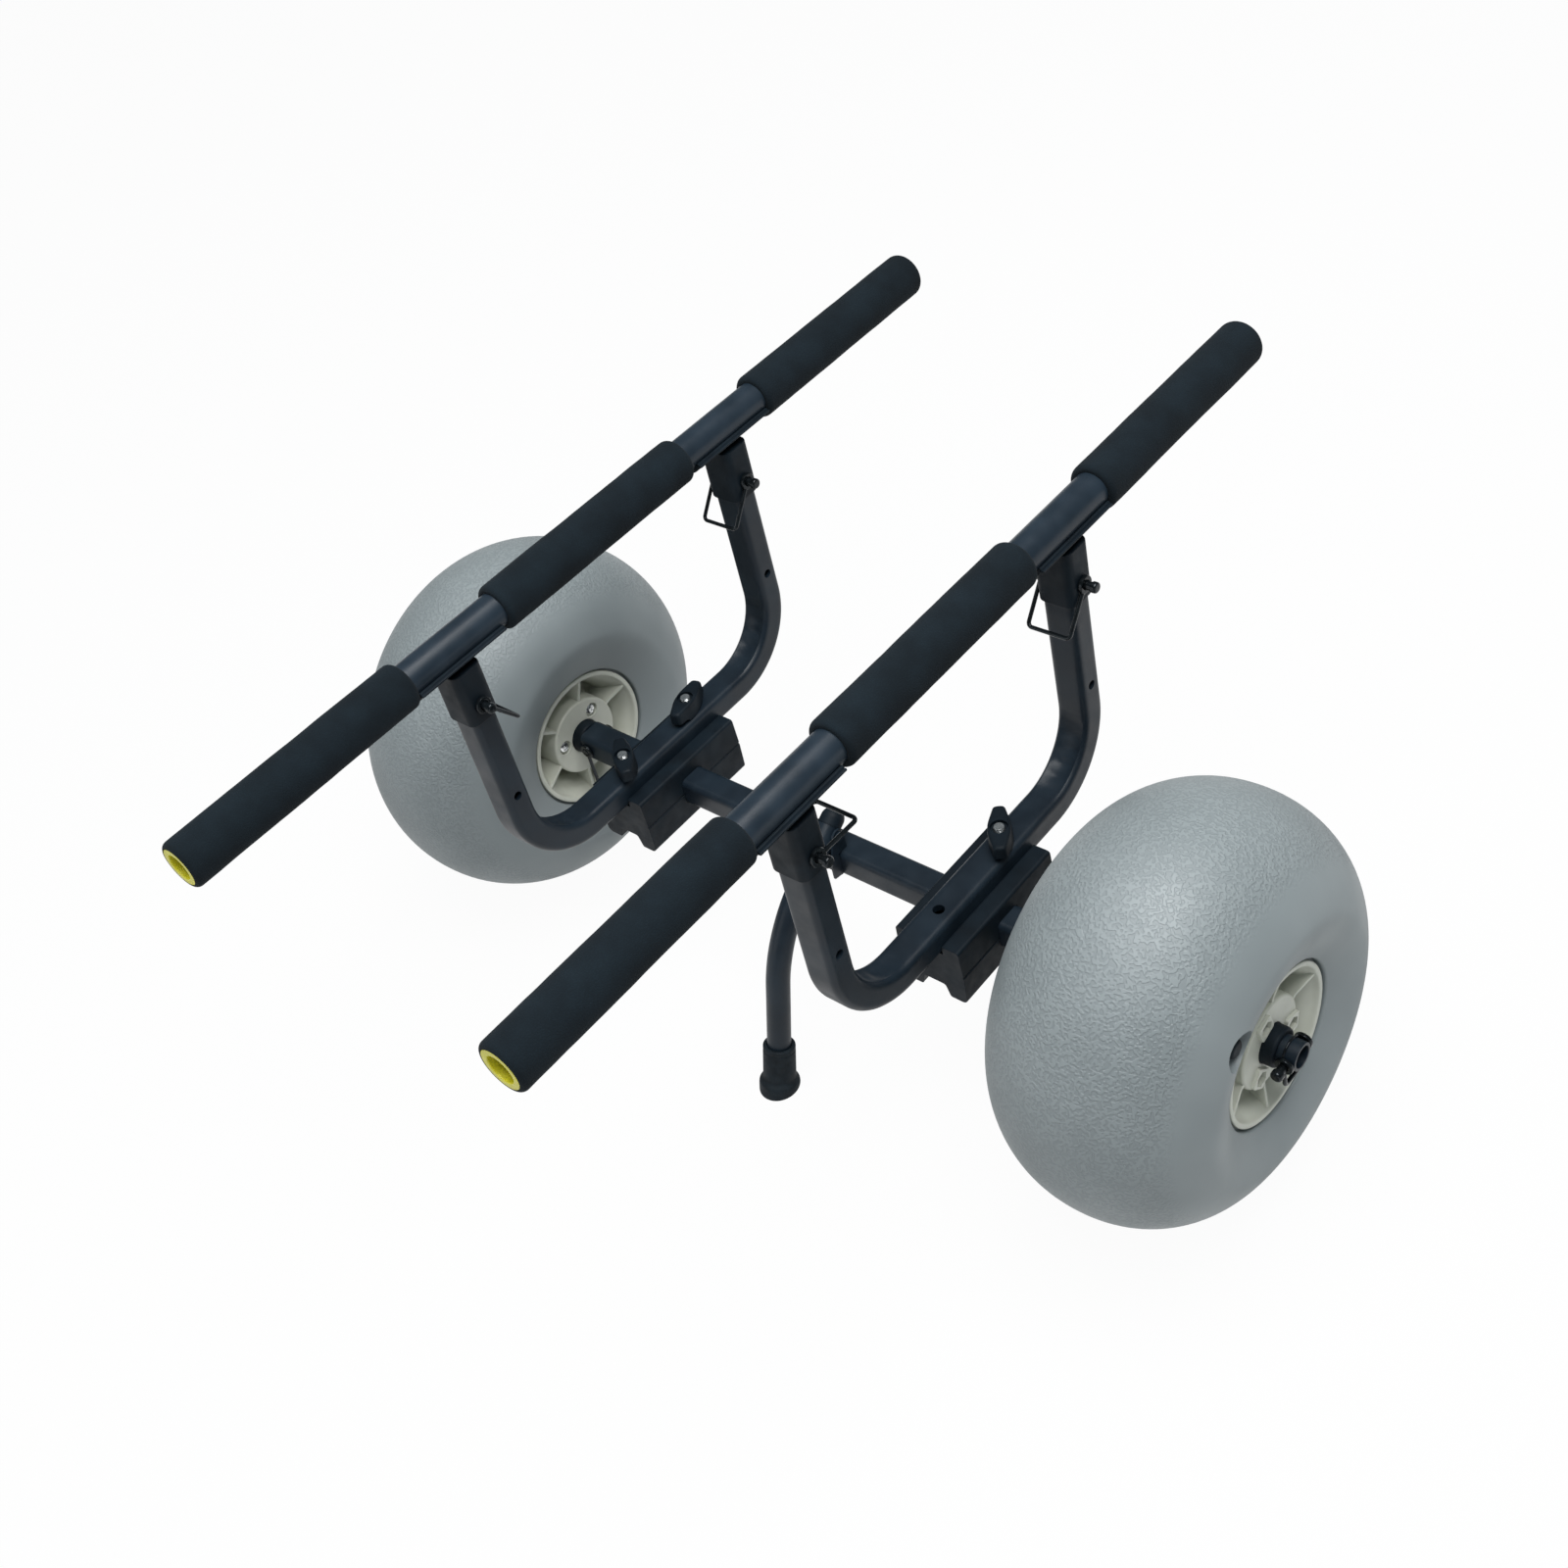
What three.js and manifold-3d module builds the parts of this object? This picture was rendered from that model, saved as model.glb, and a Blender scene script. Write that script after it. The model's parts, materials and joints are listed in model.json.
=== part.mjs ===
// Kayak cart: two balloon wheels on a square cross beam that carries two padded bunks and a kickstand.
// Millimetres. +X runs along the axle, +Y to the rear of the cart and +Z up.
// The origin is on the ground under the middle of the cross beam.
import * as THREE from 'three';
import { mergeVertices } from 'three/addons/utils/BufferGeometryUtils.js';
import Module from 'manifold-3d';

const wasm = await Module();
wasm.setup();

// Clearance between neighbours, and how far a cutting shape runs past what it cuts.
const GAP = 0.3;
const OVERRUN = 3;

// Wheels: a balloon tyre on a two-part hub that turns on a sleeve bushing.
const WHEEL_D = 300;
const TRACK = 627;
const TREAD_FLAT_W = 16;
const TYRE_WALL = 5;
const CROWN_HALF_W = 86;
const CROWN_BASE_R = 66;
const CROWN_POWER = 0.966;
const CROWN_START_DEG = 20;
const TYRE_BEAD_W = 131.4;
const TYRE_MOUTH_R = 59.5;
const TYRE_MOUTH_X = 71.5;
const TYRE_SIDE_PULL_X = 88;
const TYRE_SIDE_PULL_R = 78;
const RIM_D = 115;
const RIM_LIP_X = 70.5;
const RIM_LIP_T = 4.2;
const RIM_LIP_WALL = 3.5;
const HUB_BARREL_R = 55;
const HUB_WALL = 3.2;
const HUB_DISC_R = 33;
const HUB_DISC_X = 65.5;
const HUB_DISC_T = 3;
const HUB_CORE_WALL = 4;
const HUB_FLOOR_X = 47;
const HUB_FLOOR_R = 36;
const HUB_RIB_COUNT = 6;
const HUB_RIB_T = 2.6;
const HUB_RIB_DROP = 4.5;
const HUB_RIB_START_DEG = 18;
const BUSHING_D = 28;
const BUSHING_INNER_REACH = 9;
const BUSHING_OUTER_REACH = 9;
const VALVE_R = 70;
const VALVE_DEG = 135;
const VALVE_RECESS_LONG = 15;
const VALVE_RECESS_WIDE = 9;
const VALVE_RECESS_DEEP = 16;
const VALVE_RECESS_X = 77.5;
const VALVE_D = 12;
const VALVE_L = 12;

// Cross beam and the two axle stubs that plug into its ends.
const BEAM_SIDE = 24;
const BEAM_WALL = 1.5;
const BEAM_CORNER_R = 5;
const AXLE_D = 20;
const AXLE_WALL = 2.2;
const AXLE_PLUG_DEPTH = 90;
const AXLE_TAIL = 13;
const AXLE_PIN_D = 6;
const AXLE_PIN_HEAD_D = 9;
const AXLE_PIN_HEAD_T = 3;
const OUTER_PIN_HEAD_REACH = 22;
const OUTER_PIN_TAIL_REACH = 15;
const OUTER_PIN_INSET = 6;
const INNER_PIN_REACH = 15.5;
const INNER_PIN_INSET = 6.5;

// Bunk frames: a clamp block on the beam, a U-shaped tube and its wing-knob bolts.
const BUNK_INSET_X = 87.5;
const BUNK_SHIFT_X = 1.5;
const BLOCK_W = 56;
const BLOCK_L = 110;
const BLOCK_TOP_Z = 24;
const BLOCK_SEAT_Z = 16.2;
const BLOCK_FOOT_Z = -28.5;
const BLOCK_ARCH_Z = -17.5;
const BLOCK_FOOT_W = 16;
const BLOCK_SEAM_Z = -0.5;
const BLOCK_DRAFT = 1.2;
const BLOCK_CORNER_R = 3;
const U_WIDTH = 25;
const U_DEPTH = 21;
const U_WALL = 1.8;
const U_CORNER_R = 4.5;
const U_BEND_R = 57;
const U_ARM_Y = 142.5;
const ARM_SPARE_HOLE_Z = 104;
const BOLT_SPACING = 74;
const BOLT_D = 8;
const BOLT_HEAD_AF = 13;
const BOLT_HEAD_H = 5.5;
const BOLT_PROUD = 3;
const KNOB_L = 44;
const KNOB_W = 17.5;
const KNOB_TIP_W = 9;
const KNOB_FLAT_L = 10;
const KNOB_H = 14;
const KNOB_EDGE = 1.5;
const KNOB_RECESS_D = 13;
const KNOB_RECESS_H = 2.5;
const KNOB_ANGLES_DEG = { left_front: 52, left_rear: 17, right_rear: 36 };

// Saddles, lock pins and their wire bails.
const SADDLE_L = 80;
const SADDLE_WALL = 2.4;
const SADDLE_LIP_DROP = 5;
const SADDLE_LIP_H = 3;
const SADDLE_LIP_REACH = 3.3;
const SOCKET_WALL = 2.2;
const SOCKET_BOTTOM_Z = 180;
const SOCKET_ROOF = 3;
const ARM_PIN_Z = 194;
const ARM_PIN_D = 6.4;
const ARM_PIN_HEAD_REACH = 27;
const ARM_PIN_TAIL_REACH = 21;
const ARM_PIN_HEAD_D = 8;
const ARM_PIN_HEAD_T = 4;
const WIRE_D = 3;
const WIRE_BEND_R = 3;
const ARM_BAIL_L = 38;
const OUTER_BAIL_L = 20;
const INNER_BAIL_L = 40;
const BAIL_HANG_DEG = 52;
const BAIL_RAISED_DEG = 2;

// Bunks: a round tube with three foam sleeves and an open plug at each end.
const BUNK_L = 746.6;
const BUNK_Z = 238.7;
const BUNK_TUBE_D = 26;
const BUNK_TUBE_WALL = 1.8;
const FOAM_D = 36;
const FOAM_EDGE_R = 3;
const FOAM_INNER_CLEAR = 5.8;
const FOAM_OUTER_CLEAR = 0.8;
const PLUG_FLANGE_D = 29;
const PLUG_FLANGE_T = 3;
const PLUG_HOLE_D = 19.4;
const PLUG_SPIGOT_L = 14;

// Kickstand: a bent tube that swings on a bracket on the beam, with a domed cap and a rubber foot.
const STAND_X = 27.5;
const STAND_TUBE_D = 18.4;
const STAND_WALL = 1.6;
const STAND_PIVOT_Y = -8.8;
const STAND_PIVOT_Z = 27.25;
const STAND_PIVOT_SETBACK = 4.6;
const STAND_UPPER_DEG = 31.5;
const STAND_LOWER_DEG = 73.5;
const STAND_CORNER_RUN = 83;
const STAND_BEND_R = 120;
const STAND_PIN_D = 5;
const STAND_PIN_HEAD_D = 8.5;
const STAND_PIN_HEAD_T = 1.4;
const STAND_CAP_COLLAR = 6;
const STAND_CAP_SPIGOT = 1.2;
const BRACKET_T = 1.8;
const BRACKET_EAR_R = 6;
const BRACKET_FRONT = 9;
const BRACKET_PLATE_LOW_Z = -8;
const BRACKET_PLATE_TOP_Z = 8;
const FOOT_COLLAR_D = 25;
const FOOT_FLARE_D = 31.5;
const FOOT_COLLAR_L = 31;
const FOOT_FLARE_L = 8;
const FOOT_GRIP_L = 24;
const FOOT_EDGE = 1.2;
const FOOT_TAPER = 0.4;

// Facets of the round pieces.
const WHEEL_FACETS = 24;
const HUB_FACETS = 20;
const TUBE_FACETS = 16;
const FOAM_FACETS = 14;
const LEG_FACETS = 14;
const LEG_BORE_FACETS = 8;
const PIN_FACETS = 8;
const WIRE_FACETS = 6;
const RECESS_FACETS = 10;
const HEX_SIDES = 6;
const MERGE_REACH = 1e-4;
const CORNER_STEPS = 2;
const BEND_STEPS = 5;
const WIRE_BEND_STEPS = 2;
const PROFILE_STEPS = 8;
const CROWN_STEPS = 5;
const TYRE_SIDE_STEPS = 4;

const AXLE_Z = WHEEL_D / 2;
const DEG = Math.PI / 180;

const cart = new THREE.Group();
const axleLine = new THREE.Group();
axleLine.position.z = AXLE_Z;
cart.add(axleLine);

// Finishes.
function finish(color, roughness, metalness) {
  return () => new THREE.MeshStandardMaterial({ color, roughness, metalness });
}
const blackTube = finish(0x2b3338, 0.45, 0.6);
const bunkTubePaint = finish(0x3c3f46, 0.4, 0.6);
const blackPlastic = finish(0x1d262b, 0.55, 0);
const foamRubber = finish(0x141c21, 0.95, 0);
const tyreSkin = finish(0x747c7c, 0.8, 0);
const hubPlastic = finish(0xa5a89c, 0.5, 0);
const yellowPlastic = finish(0xe6c11f, 0.45, 0);
const zincSteel = finish(0xb9bcbd, 0.3, 0.9);
const blackRubber = finish(0x14181b, 0.85, 0);
const blackWire = finish(0x1c1f22, 0.4, 0.5);

// Closed shapes. Merges the shared corners, drops collapsed faces and turns the faces outwards.
function closedShape(geometry) {
  const bare = new THREE.BufferGeometry();
  bare.setAttribute('position', geometry.getAttribute('position').clone());
  bare.setIndex(geometry.getIndex() ? Array.from(geometry.getIndex().array) : null);
  const merged = mergeVertices(bare, MERGE_REACH);
  const faces = merged.getIndex().array;
  const kept = [];
  for (let i = 0; i < faces.length; i += 3) {
    const [a, b, c] = [faces[i], faces[i + 1], faces[i + 2]];
    if (a !== b && b !== c && c !== a) kept.push(a, b, c);
  }
  merged.setIndex(kept);
  if (signedVolume(merged) < 0) merged.setIndex(kept.reverse());
  return merged;
}

function signedVolume(geometry) {
  const place = geometry.getAttribute('position');
  const faces = geometry.getIndex().array;
  const [a, b, c] = [new THREE.Vector3(), new THREE.Vector3(), new THREE.Vector3()];
  let sum = 0;
  for (let i = 0; i < faces.length; i += 3) {
    a.fromBufferAttribute(place, faces[i]);
    b.fromBufferAttribute(place, faces[i + 1]);
    c.fromBufferAttribute(place, faces[i + 2]);
    sum += a.dot(b.cross(c));
  }
  return sum;
}

// A closed geometry as a solid that can be cut and joined.
function solid(geometry) {
  const shape = closedShape(geometry);
  return new wasm.Manifold(new wasm.Mesh({
    numProp: 3,
    vertProperties: Float32Array.from(shape.getAttribute('position').array),
    triVerts: Uint32Array.from(shape.getIndex().array),
  }));
}

function geometryOf(shape) {
  const mesh = shape.getMesh();
  const geometry = new THREE.BufferGeometry();
  geometry.setAttribute('position', new THREE.BufferAttribute(mesh.vertProperties, mesh.numProp));
  geometry.setIndex(new THREE.BufferAttribute(mesh.triVerts, 1));
  return closedShape(geometry);
}

// Adds one named piece to a group.
function piece(name, shape, material, group, place = [0, 0, 0], turn = [0, 0, 0]) {
  const geometry = shape.getMesh ? geometryOf(shape) : closedShape(shape);
  geometry.computeVertexNormals();
  const mesh = new THREE.Mesh(geometry, material());
  mesh.name = name;
  mesh.position.set(...place);
  mesh.rotation.set(...turn);
  group.add(mesh);
  return mesh;
}

// How far the corners of a faceted round reach when its flats lie on the stated radius.
function cornerReach(radius, facets) {
  return radius / Math.cos(Math.PI / facets);
}

// Turned pieces: a closed outline of [along, radius] points spun about X, with flats facing up and down.
function turned(outline, facets) {
  const half = Math.PI / facets;
  const points = outline.map(([along, radius]) => new THREE.Vector2(cornerReach(radius, facets), along));
  const hollow = outline[0][1] > 0;
  if (hollow) points.push(points[0].clone());
  return new THREE.LatheGeometry(points, facets, half).rotateZ(-Math.PI / 2);
}

function rod(from, to, radius, facets) {
  return turned([[from, 0], [from, radius], [to, radius], [to, 0]], facets);
}

function pipe(from, to, outer, inner, facets) {
  return turned([[from, inner], [from, outer], [to, outer], [to, inner]], facets);
}

// Boxes between two corners.
function block(low, high) {
  const size = high.map((value, i) => value - low[i]);
  return new THREE.BoxGeometry(...size).translate(...low.map((value, i) => value + size[i] / 2));
}

// Section outlines.
function roundedOblong(width, height, radius) {
  const points = [];
  const [armX, armY] = [width / 2 - radius, height / 2 - radius];
  for (let corner = 0; corner < 4; corner += 1) {
    const start = corner * Math.PI / 2;
    const middle = start + Math.PI / 4;
    const centre = [Math.sign(Math.cos(middle)) * armX, Math.sign(Math.sin(middle)) * armY];
    for (let i = 0; i <= CORNER_STEPS; i += 1) {
      const angle = start + (i / CORNER_STEPS) * Math.PI / 2;
      const [across, up] = [radius * Math.cos(angle), radius * Math.sin(angle)];
      points.push(new THREE.Vector2(centre[0] + across, centre[1] + up));
    }
  }
  return points;
}

function plainOblong(width, height) {
  const [halfX, halfY] = [width / 2, height / 2];
  const corners = [[halfX, halfY], [-halfX, halfY], [-halfX, -halfY], [halfX, -halfY]];
  return corners.map(([x, y]) => new THREE.Vector2(x, y));
}

function roundSection(radius, facets) {
  const reach = cornerReach(radius, facets);
  const points = [];
  for (let i = 0; i < facets; i += 1) {
    const angle = (i + 0.5) / facets * 2 * Math.PI;
    points.push(new THREE.Vector2(reach * Math.cos(angle), reach * Math.sin(angle)));
  }
  return points;
}

function hollowSection(outer, inner) {
  const shape = new THREE.Shape(outer);
  shape.holes.push(new THREE.Path(inner));
  return shape;
}

// A route through corner points with rounded bends: one step to a straight, several to a bend.
class BentRoute extends THREE.Curve {
  constructor(corners, radius, bendSteps) {
    super();
    const places = corners.map((corner) => new THREE.Vector3(...corner));
    this.stations = [{ place: places[0], along: places[1].clone().sub(places[0]).normalize() }];
    for (let i = 1; i < places.length - 1; i += 1) {
      const entry = places[i].clone().sub(places[i - 1]).normalize();
      const exit = places[i + 1].clone().sub(places[i]).normalize();
      const bend = entry.angleTo(exit);
      const run = radius * Math.tan(bend / 2);
      const start = places[i].clone().addScaledVector(entry, -run);
      const axis = entry.clone().cross(exit).normalize();
      const inward = axis.clone().cross(entry);
      const centre = start.clone().addScaledVector(inward, radius);
      for (let step = 0; step <= bendSteps; step += 1) {
        const turn = bend * step / bendSteps;
        const place = start.clone().sub(centre).applyAxisAngle(axis, turn).add(centre);
        this.stations.push({ place, along: entry.clone().applyAxisAngle(axis, turn) });
      }
    }
    const last = places[places.length - 1];
    const before = places[places.length - 2];
    this.stations.push({ place: last, along: last.clone().sub(before).normalize() });
  }

  get steps() {
    return this.stations.length - 1;
  }

  locate(t) {
    const whole = Math.min(Math.floor(t * this.steps + MERGE_REACH), this.steps - 1);
    return [this.stations[whole], this.stations[whole + 1], t * this.steps - whole];
  }

  getPoint(t, target = new THREE.Vector3()) {
    const [from, to, share] = this.locate(t);
    return target.lerpVectors(from.place, to.place, share);
  }

  getPointAt(t, target) {
    return this.getPoint(t, target);
  }

  getTangent(t, target = new THREE.Vector3()) {
    const [from, to, share] = this.locate(t);
    return target.lerpVectors(from.along, to.along, share).normalize();
  }

  getTangentAt(t, target) {
    return this.getTangent(t, target);
  }
}

function sweep(section, route) {
  const options = { steps: route.steps, bevelEnabled: false, extrudePath: route };
  return new THREE.ExtrudeGeometry(section, options);
}

// Straight extrusions of an outline of [across, up] points, centred along Y.
function extrudeAlongY(outline, length) {
  const shape = new THREE.Shape(outline.map(([across, up]) => new THREE.Vector2(across, up)));
  const body = new THREE.ExtrudeGeometry(shape, { depth: length, bevelEnabled: false });
  return body.rotateX(Math.PI / 2).translate(0, length / 2, 0);
}

// Wheels. The crown of the tyre rises from its shoulder to the flat middle of the tread.
function crownCurve(halfWidth, rise) {
  const points = [];
  for (let i = 0; i < CROWN_STEPS; i += 1) {
    const angle = THREE.MathUtils.lerp(CROWN_START_DEG, 90, i / CROWN_STEPS) * DEG;
    const across = halfWidth * Math.cos(angle) ** CROWN_POWER;
    points.push([across, CROWN_BASE_R + rise * Math.sin(angle) ** CROWN_POWER]);
  }
  points.push([TREAD_FLAT_W / 2, CROWN_BASE_R + rise]);
  return points;
}

// The sidewall: a soft curve from the mouth to the shoulder, drawn out towards the pull point.
function sideCurve(mouth, pull, shoulder) {
  const places = [mouth, pull, shoulder].map(([across, radius]) => new THREE.Vector2(across, radius));
  const points = new THREE.QuadraticBezierCurve(...places).getPoints(TYRE_SIDE_STEPS);
  return points.slice(0, -1).map((point) => [point.x, point.y]);
}

function mirrored(points) {
  return points.map(([across, radius]) => [-across, radius]).reverse();
}

// The outside of the tyre, from the bore over the sidewall to the tread.
function tyreSkinSide() {
  const crown = crownCurve(CROWN_HALF_W, WHEEL_D / 2 - CROWN_BASE_R);
  return [
    [TYRE_BEAD_W / 2, cornerReach(HUB_BARREL_R, HUB_FACETS) + GAP],
    [TYRE_BEAD_W / 2, TYRE_MOUTH_R],
    ...sideCurve([TYRE_MOUTH_X, TYRE_MOUTH_R + GAP], [TYRE_SIDE_PULL_X, TYRE_SIDE_PULL_R], crown[0]),
    ...crown,
  ];
}

// The air space inside, open to the hub.
function tyreAirSide() {
  const beadBack = TYRE_BEAD_W / 2 - TYRE_WALL;
  const beadTop = TYRE_MOUTH_R + TYRE_WALL;
  const crown = crownCurve(CROWN_HALF_W - TYRE_WALL, WHEEL_D / 2 - CROWN_BASE_R - TYRE_WALL);
  const pull = [TYRE_SIDE_PULL_X - TYRE_WALL, TYRE_SIDE_PULL_R];
  return [
    [beadBack, cornerReach(HUB_BARREL_R, HUB_FACETS) + GAP],
    [beadBack, beadTop],
    ...sideCurve([TYRE_MOUTH_X - TYRE_WALL, beadTop + GAP], pull, crown[0]),
    ...crown,
  ];
}

function valvePlace() {
  return [Math.cos(VALVE_DEG * DEG) * VALVE_R, Math.sin(VALVE_DEG * DEG) * VALVE_R];
}

function valveStart() {
  return VALVE_RECESS_X - VALVE_RECESS_DEEP;
}

function tyre() {
  const [valveY, valveZ] = valvePlace();
  const skin = tyreSkinSide();
  const air = tyreAirSide();
  const filled = solid(turned([...skin, ...mirrored(skin)], WHEEL_FACETS));
  const inside = [...mirrored(air).reverse(), ...air.reverse()];
  const shell = solid(turned([...skin, ...mirrored(skin), ...inside], WHEEL_FACETS));
  const padFrom = valveStart() - 2 * TYRE_WALL;
  const padR = VALVE_RECESS_LONG + TYRE_WALL;
  const pad = rod(padFrom, CROWN_HALF_W, padR, PIN_FACETS).translate(0, valveY, valveZ);
  const recess = new THREE.SphereGeometry(VALVE_RECESS_LONG, RECESS_FACETS, RECESS_FACETS)
    .scale(VALVE_RECESS_DEEP / VALVE_RECESS_LONG, VALVE_RECESS_WIDE / VALVE_RECESS_LONG, 1)
    .rotateX(VALVE_DEG * DEG)
    .translate(VALVE_RECESS_X, valveY, valveZ);
  const seatR = VALVE_D / 2 + GAP;
  const seat = rod(valveStart() - GAP, CROWN_HALF_W, seatR, PIN_FACETS).translate(0, valveY, valveZ);
  return shell.add(filled.intersect(solid(pad))).subtract(solid(recess)).subtract(solid(seat));
}

// Half of the hub, from the middle of the wheel outwards along +X.
function hubHalf() {
  const start = GAP / 2;
  const bore = BUSHING_D / 2 + GAP;
  const core = bore + HUB_CORE_WALL;
  const lipInner = RIM_D / 2 - RIM_LIP_WALL;
  const lipBack = RIM_LIP_X - RIM_LIP_T;
  const barrelInner = HUB_BARREL_R - HUB_WALL;
  const discBack = HUB_DISC_X - HUB_DISC_T;
  const dishTopR = lipInner - HUB_WALL;
  const dishRun = Math.hypot(lipBack - HUB_FLOOR_X, dishTopR - HUB_FLOOR_R);
  const slope = (lipBack - HUB_FLOOR_X) / (dishTopR - HUB_FLOOR_R);
  const backOffset = HUB_WALL * dishRun / (dishTopR - HUB_FLOOR_R);
  const meetX = HUB_FLOOR_X + (barrelInner - HUB_FLOOR_R) * slope - backOffset;
  const floorBack = HUB_FLOOR_X - HUB_WALL;
  const floorMeetR = HUB_FLOOR_R + (floorBack - HUB_FLOOR_X + backOffset) / slope;
  const body = solid(turned([
    [start, bore],
    [HUB_DISC_X, bore],
    [HUB_DISC_X, HUB_DISC_R],
    [discBack, HUB_DISC_R],
    [discBack, core],
    [HUB_FLOOR_X, core],
    [HUB_FLOOR_X, HUB_FLOOR_R],
    [lipBack, dishTopR],
    [RIM_LIP_X, lipInner],
    [RIM_LIP_X, RIM_D / 2 - RIM_LIP_WALL / 3],
    [RIM_LIP_X - RIM_LIP_WALL / 3, RIM_D / 2],
    [lipBack, RIM_D / 2],
    [lipBack, HUB_BARREL_R],
    [start, HUB_BARREL_R],
    [start, barrelInner],
    [meetX, barrelInner],
    [floorBack, floorMeetR],
    [floorBack, core],
    [start, core],
  ], HUB_FACETS));
  const ribTop = RIM_LIP_X - HUB_RIB_DROP;
  const ribShape = new THREE.Shape([
    new THREE.Vector2(HUB_FLOOR_X - HUB_WALL / 2, HUB_DISC_R - HUB_DISC_T),
    new THREE.Vector2(discBack + HUB_DISC_T / 2, HUB_DISC_R - HUB_DISC_T),
    new THREE.Vector2(ribTop, dishTopR + HUB_WALL / 2),
    new THREE.Vector2(lipBack - HUB_WALL / 2, dishTopR + HUB_WALL / 4),
    new THREE.Vector2(HUB_FLOOR_X - HUB_WALL / 2, HUB_FLOOR_R),
  ]);
  const ribs = [];
  for (let i = 0; i < HUB_RIB_COUNT; i += 1) {
    const angle = (HUB_RIB_START_DEG + i * 360 / HUB_RIB_COUNT) * DEG;
    const rib = new THREE.ExtrudeGeometry(ribShape, { depth: HUB_RIB_T, bevelEnabled: false })
      .translate(0, 0, -HUB_RIB_T / 2);
    ribs.push(solid(rib.rotateX(angle)));
  }
  return ribs.reduce((sum, rib) => sum.add(rib), body);
}

function bushing() {
  const inner = AXLE_D / 2 + GAP;
  const outer = BUSHING_D / 2;
  const [innerEnd, outerEnd] = [-HUB_DISC_X - BUSHING_INNER_REACH, HUB_DISC_X + BUSHING_OUTER_REACH];
  return pipe(innerEnd, outerEnd, outer, inner, TUBE_FACETS);
}

function addWheel(side, sign) {
  const wheel = new THREE.Group();
  wheel.position.x = sign * TRACK / 2;
  if (sign < 0) wheel.rotation.z = Math.PI;
  axleLine.add(wheel);
  const hub = hubHalf();
  const [valveY, valveZ] = valvePlace();
  const valve = rod(valveStart(), valveStart() + VALVE_L, VALVE_D / 2, PIN_FACETS);
  piece(`tyre_${side}`, tyre(), tyreSkin, wheel);
  piece(`hub_outer_${side}`, hub, hubPlastic, wheel);
  piece(`hub_inner_${side}`, hub, hubPlastic, wheel, [0, 0, 0], [0, 0, Math.PI]);
  piece(`hub_bushing_${side}`, bushing(), blackPlastic, wheel);
  piece(`valve_${side}`, valve, blackRubber, wheel, [0, valveY, valveZ]);
}

// Cross beam and axle stubs.
const BEAM_END_X = TRACK / 2 - HUB_DISC_X - BUSHING_INNER_REACH - GAP;
const AXLE_END_X = TRACK / 2 + HUB_DISC_X + BUSHING_OUTER_REACH + AXLE_TAIL;
const INNER_PIN_X = BEAM_END_X - INNER_PIN_INSET;
const OUTER_PIN_X = AXLE_END_X - OUTER_PIN_INSET;

function crossPinHole(x) {
  const hole = rod(-BEAM_SIDE, BEAM_SIDE, AXLE_PIN_D / 2 + GAP, PIN_FACETS);
  return solid(hole.rotateZ(Math.PI / 2).translate(x, 0, 0));
}

function addBeam() {
  const bore = BEAM_SIDE - 2 * BEAM_WALL;
  const outer = roundedOblong(BEAM_SIDE, BEAM_SIDE, BEAM_CORNER_R);
  const inner = plainOblong(bore, bore);
  const length = 2 * BEAM_END_X;
  const section = hollowSection(outer, inner);
  const tube = new THREE.ExtrudeGeometry(section, { depth: length, bevelEnabled: false })
    .rotateY(Math.PI / 2)
    .translate(-BEAM_END_X, 0, 0);
  const drilled = solid(tube).subtract(crossPinHole(INNER_PIN_X)).subtract(crossPinHole(-INNER_PIN_X));
  piece('cross_beam', drilled, blackTube, axleLine);
}

function addAxle(side, sign) {
  const half = new THREE.Group();
  if (sign < 0) half.rotation.z = Math.PI;
  axleLine.add(half);
  const start = BEAM_END_X - AXLE_PLUG_DEPTH;
  const tube = pipe(start, AXLE_END_X, AXLE_D / 2, AXLE_D / 2 - AXLE_WALL, TUBE_FACETS);
  const drilled = solid(tube).subtract(crossPinHole(INNER_PIN_X)).subtract(crossPinHole(OUTER_PIN_X));
  piece(`axle_${side}`, drilled, blackTube, half);
}

// Lock pins: a plain pin with a head at its far end, if it has one.
function lockPin(tail, head, diameter, headDiameter, headThickness) {
  const radius = diameter / 2;
  const headPoints = headThickness > 0 ? [
    [head - headThickness, radius],
    [head - headThickness, headDiameter / 2],
    [head, headDiameter / 2],
  ] : [[head, radius]];
  return turned([[-tail, 0], [-tail, radius], ...headPoints, [head, 0]], PIN_FACETS);
}

// A wire bail that hangs from a pin along X: an eye round the pin at each side, two legs and a crossbar.
function bail(bodyHalf, pinDiameter, reach) {
  const side = bodyHalf + GAP + WIRE_D / 2;
  const bore = pinDiameter / 2 + GAP;
  const route = new BentRoute([
    [-side, 0, -bore - WIRE_D / 2],
    [-side, 0, -reach],
    [side, 0, -reach],
    [side, 0, -bore - WIRE_D / 2],
  ], WIRE_BEND_R, WIRE_BEND_STEPS);
  const wire = solid(sweep(new THREE.Shape(roundSection(WIRE_D / 2, WIRE_FACETS)), route));
  const eye = solid(pipe(-WIRE_D / 2, WIRE_D / 2, bore + WIRE_D, bore, PIN_FACETS));
  return wire.add(eye.translate([-side, 0, 0])).add(eye.translate([side, 0, 0]));
}

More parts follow.
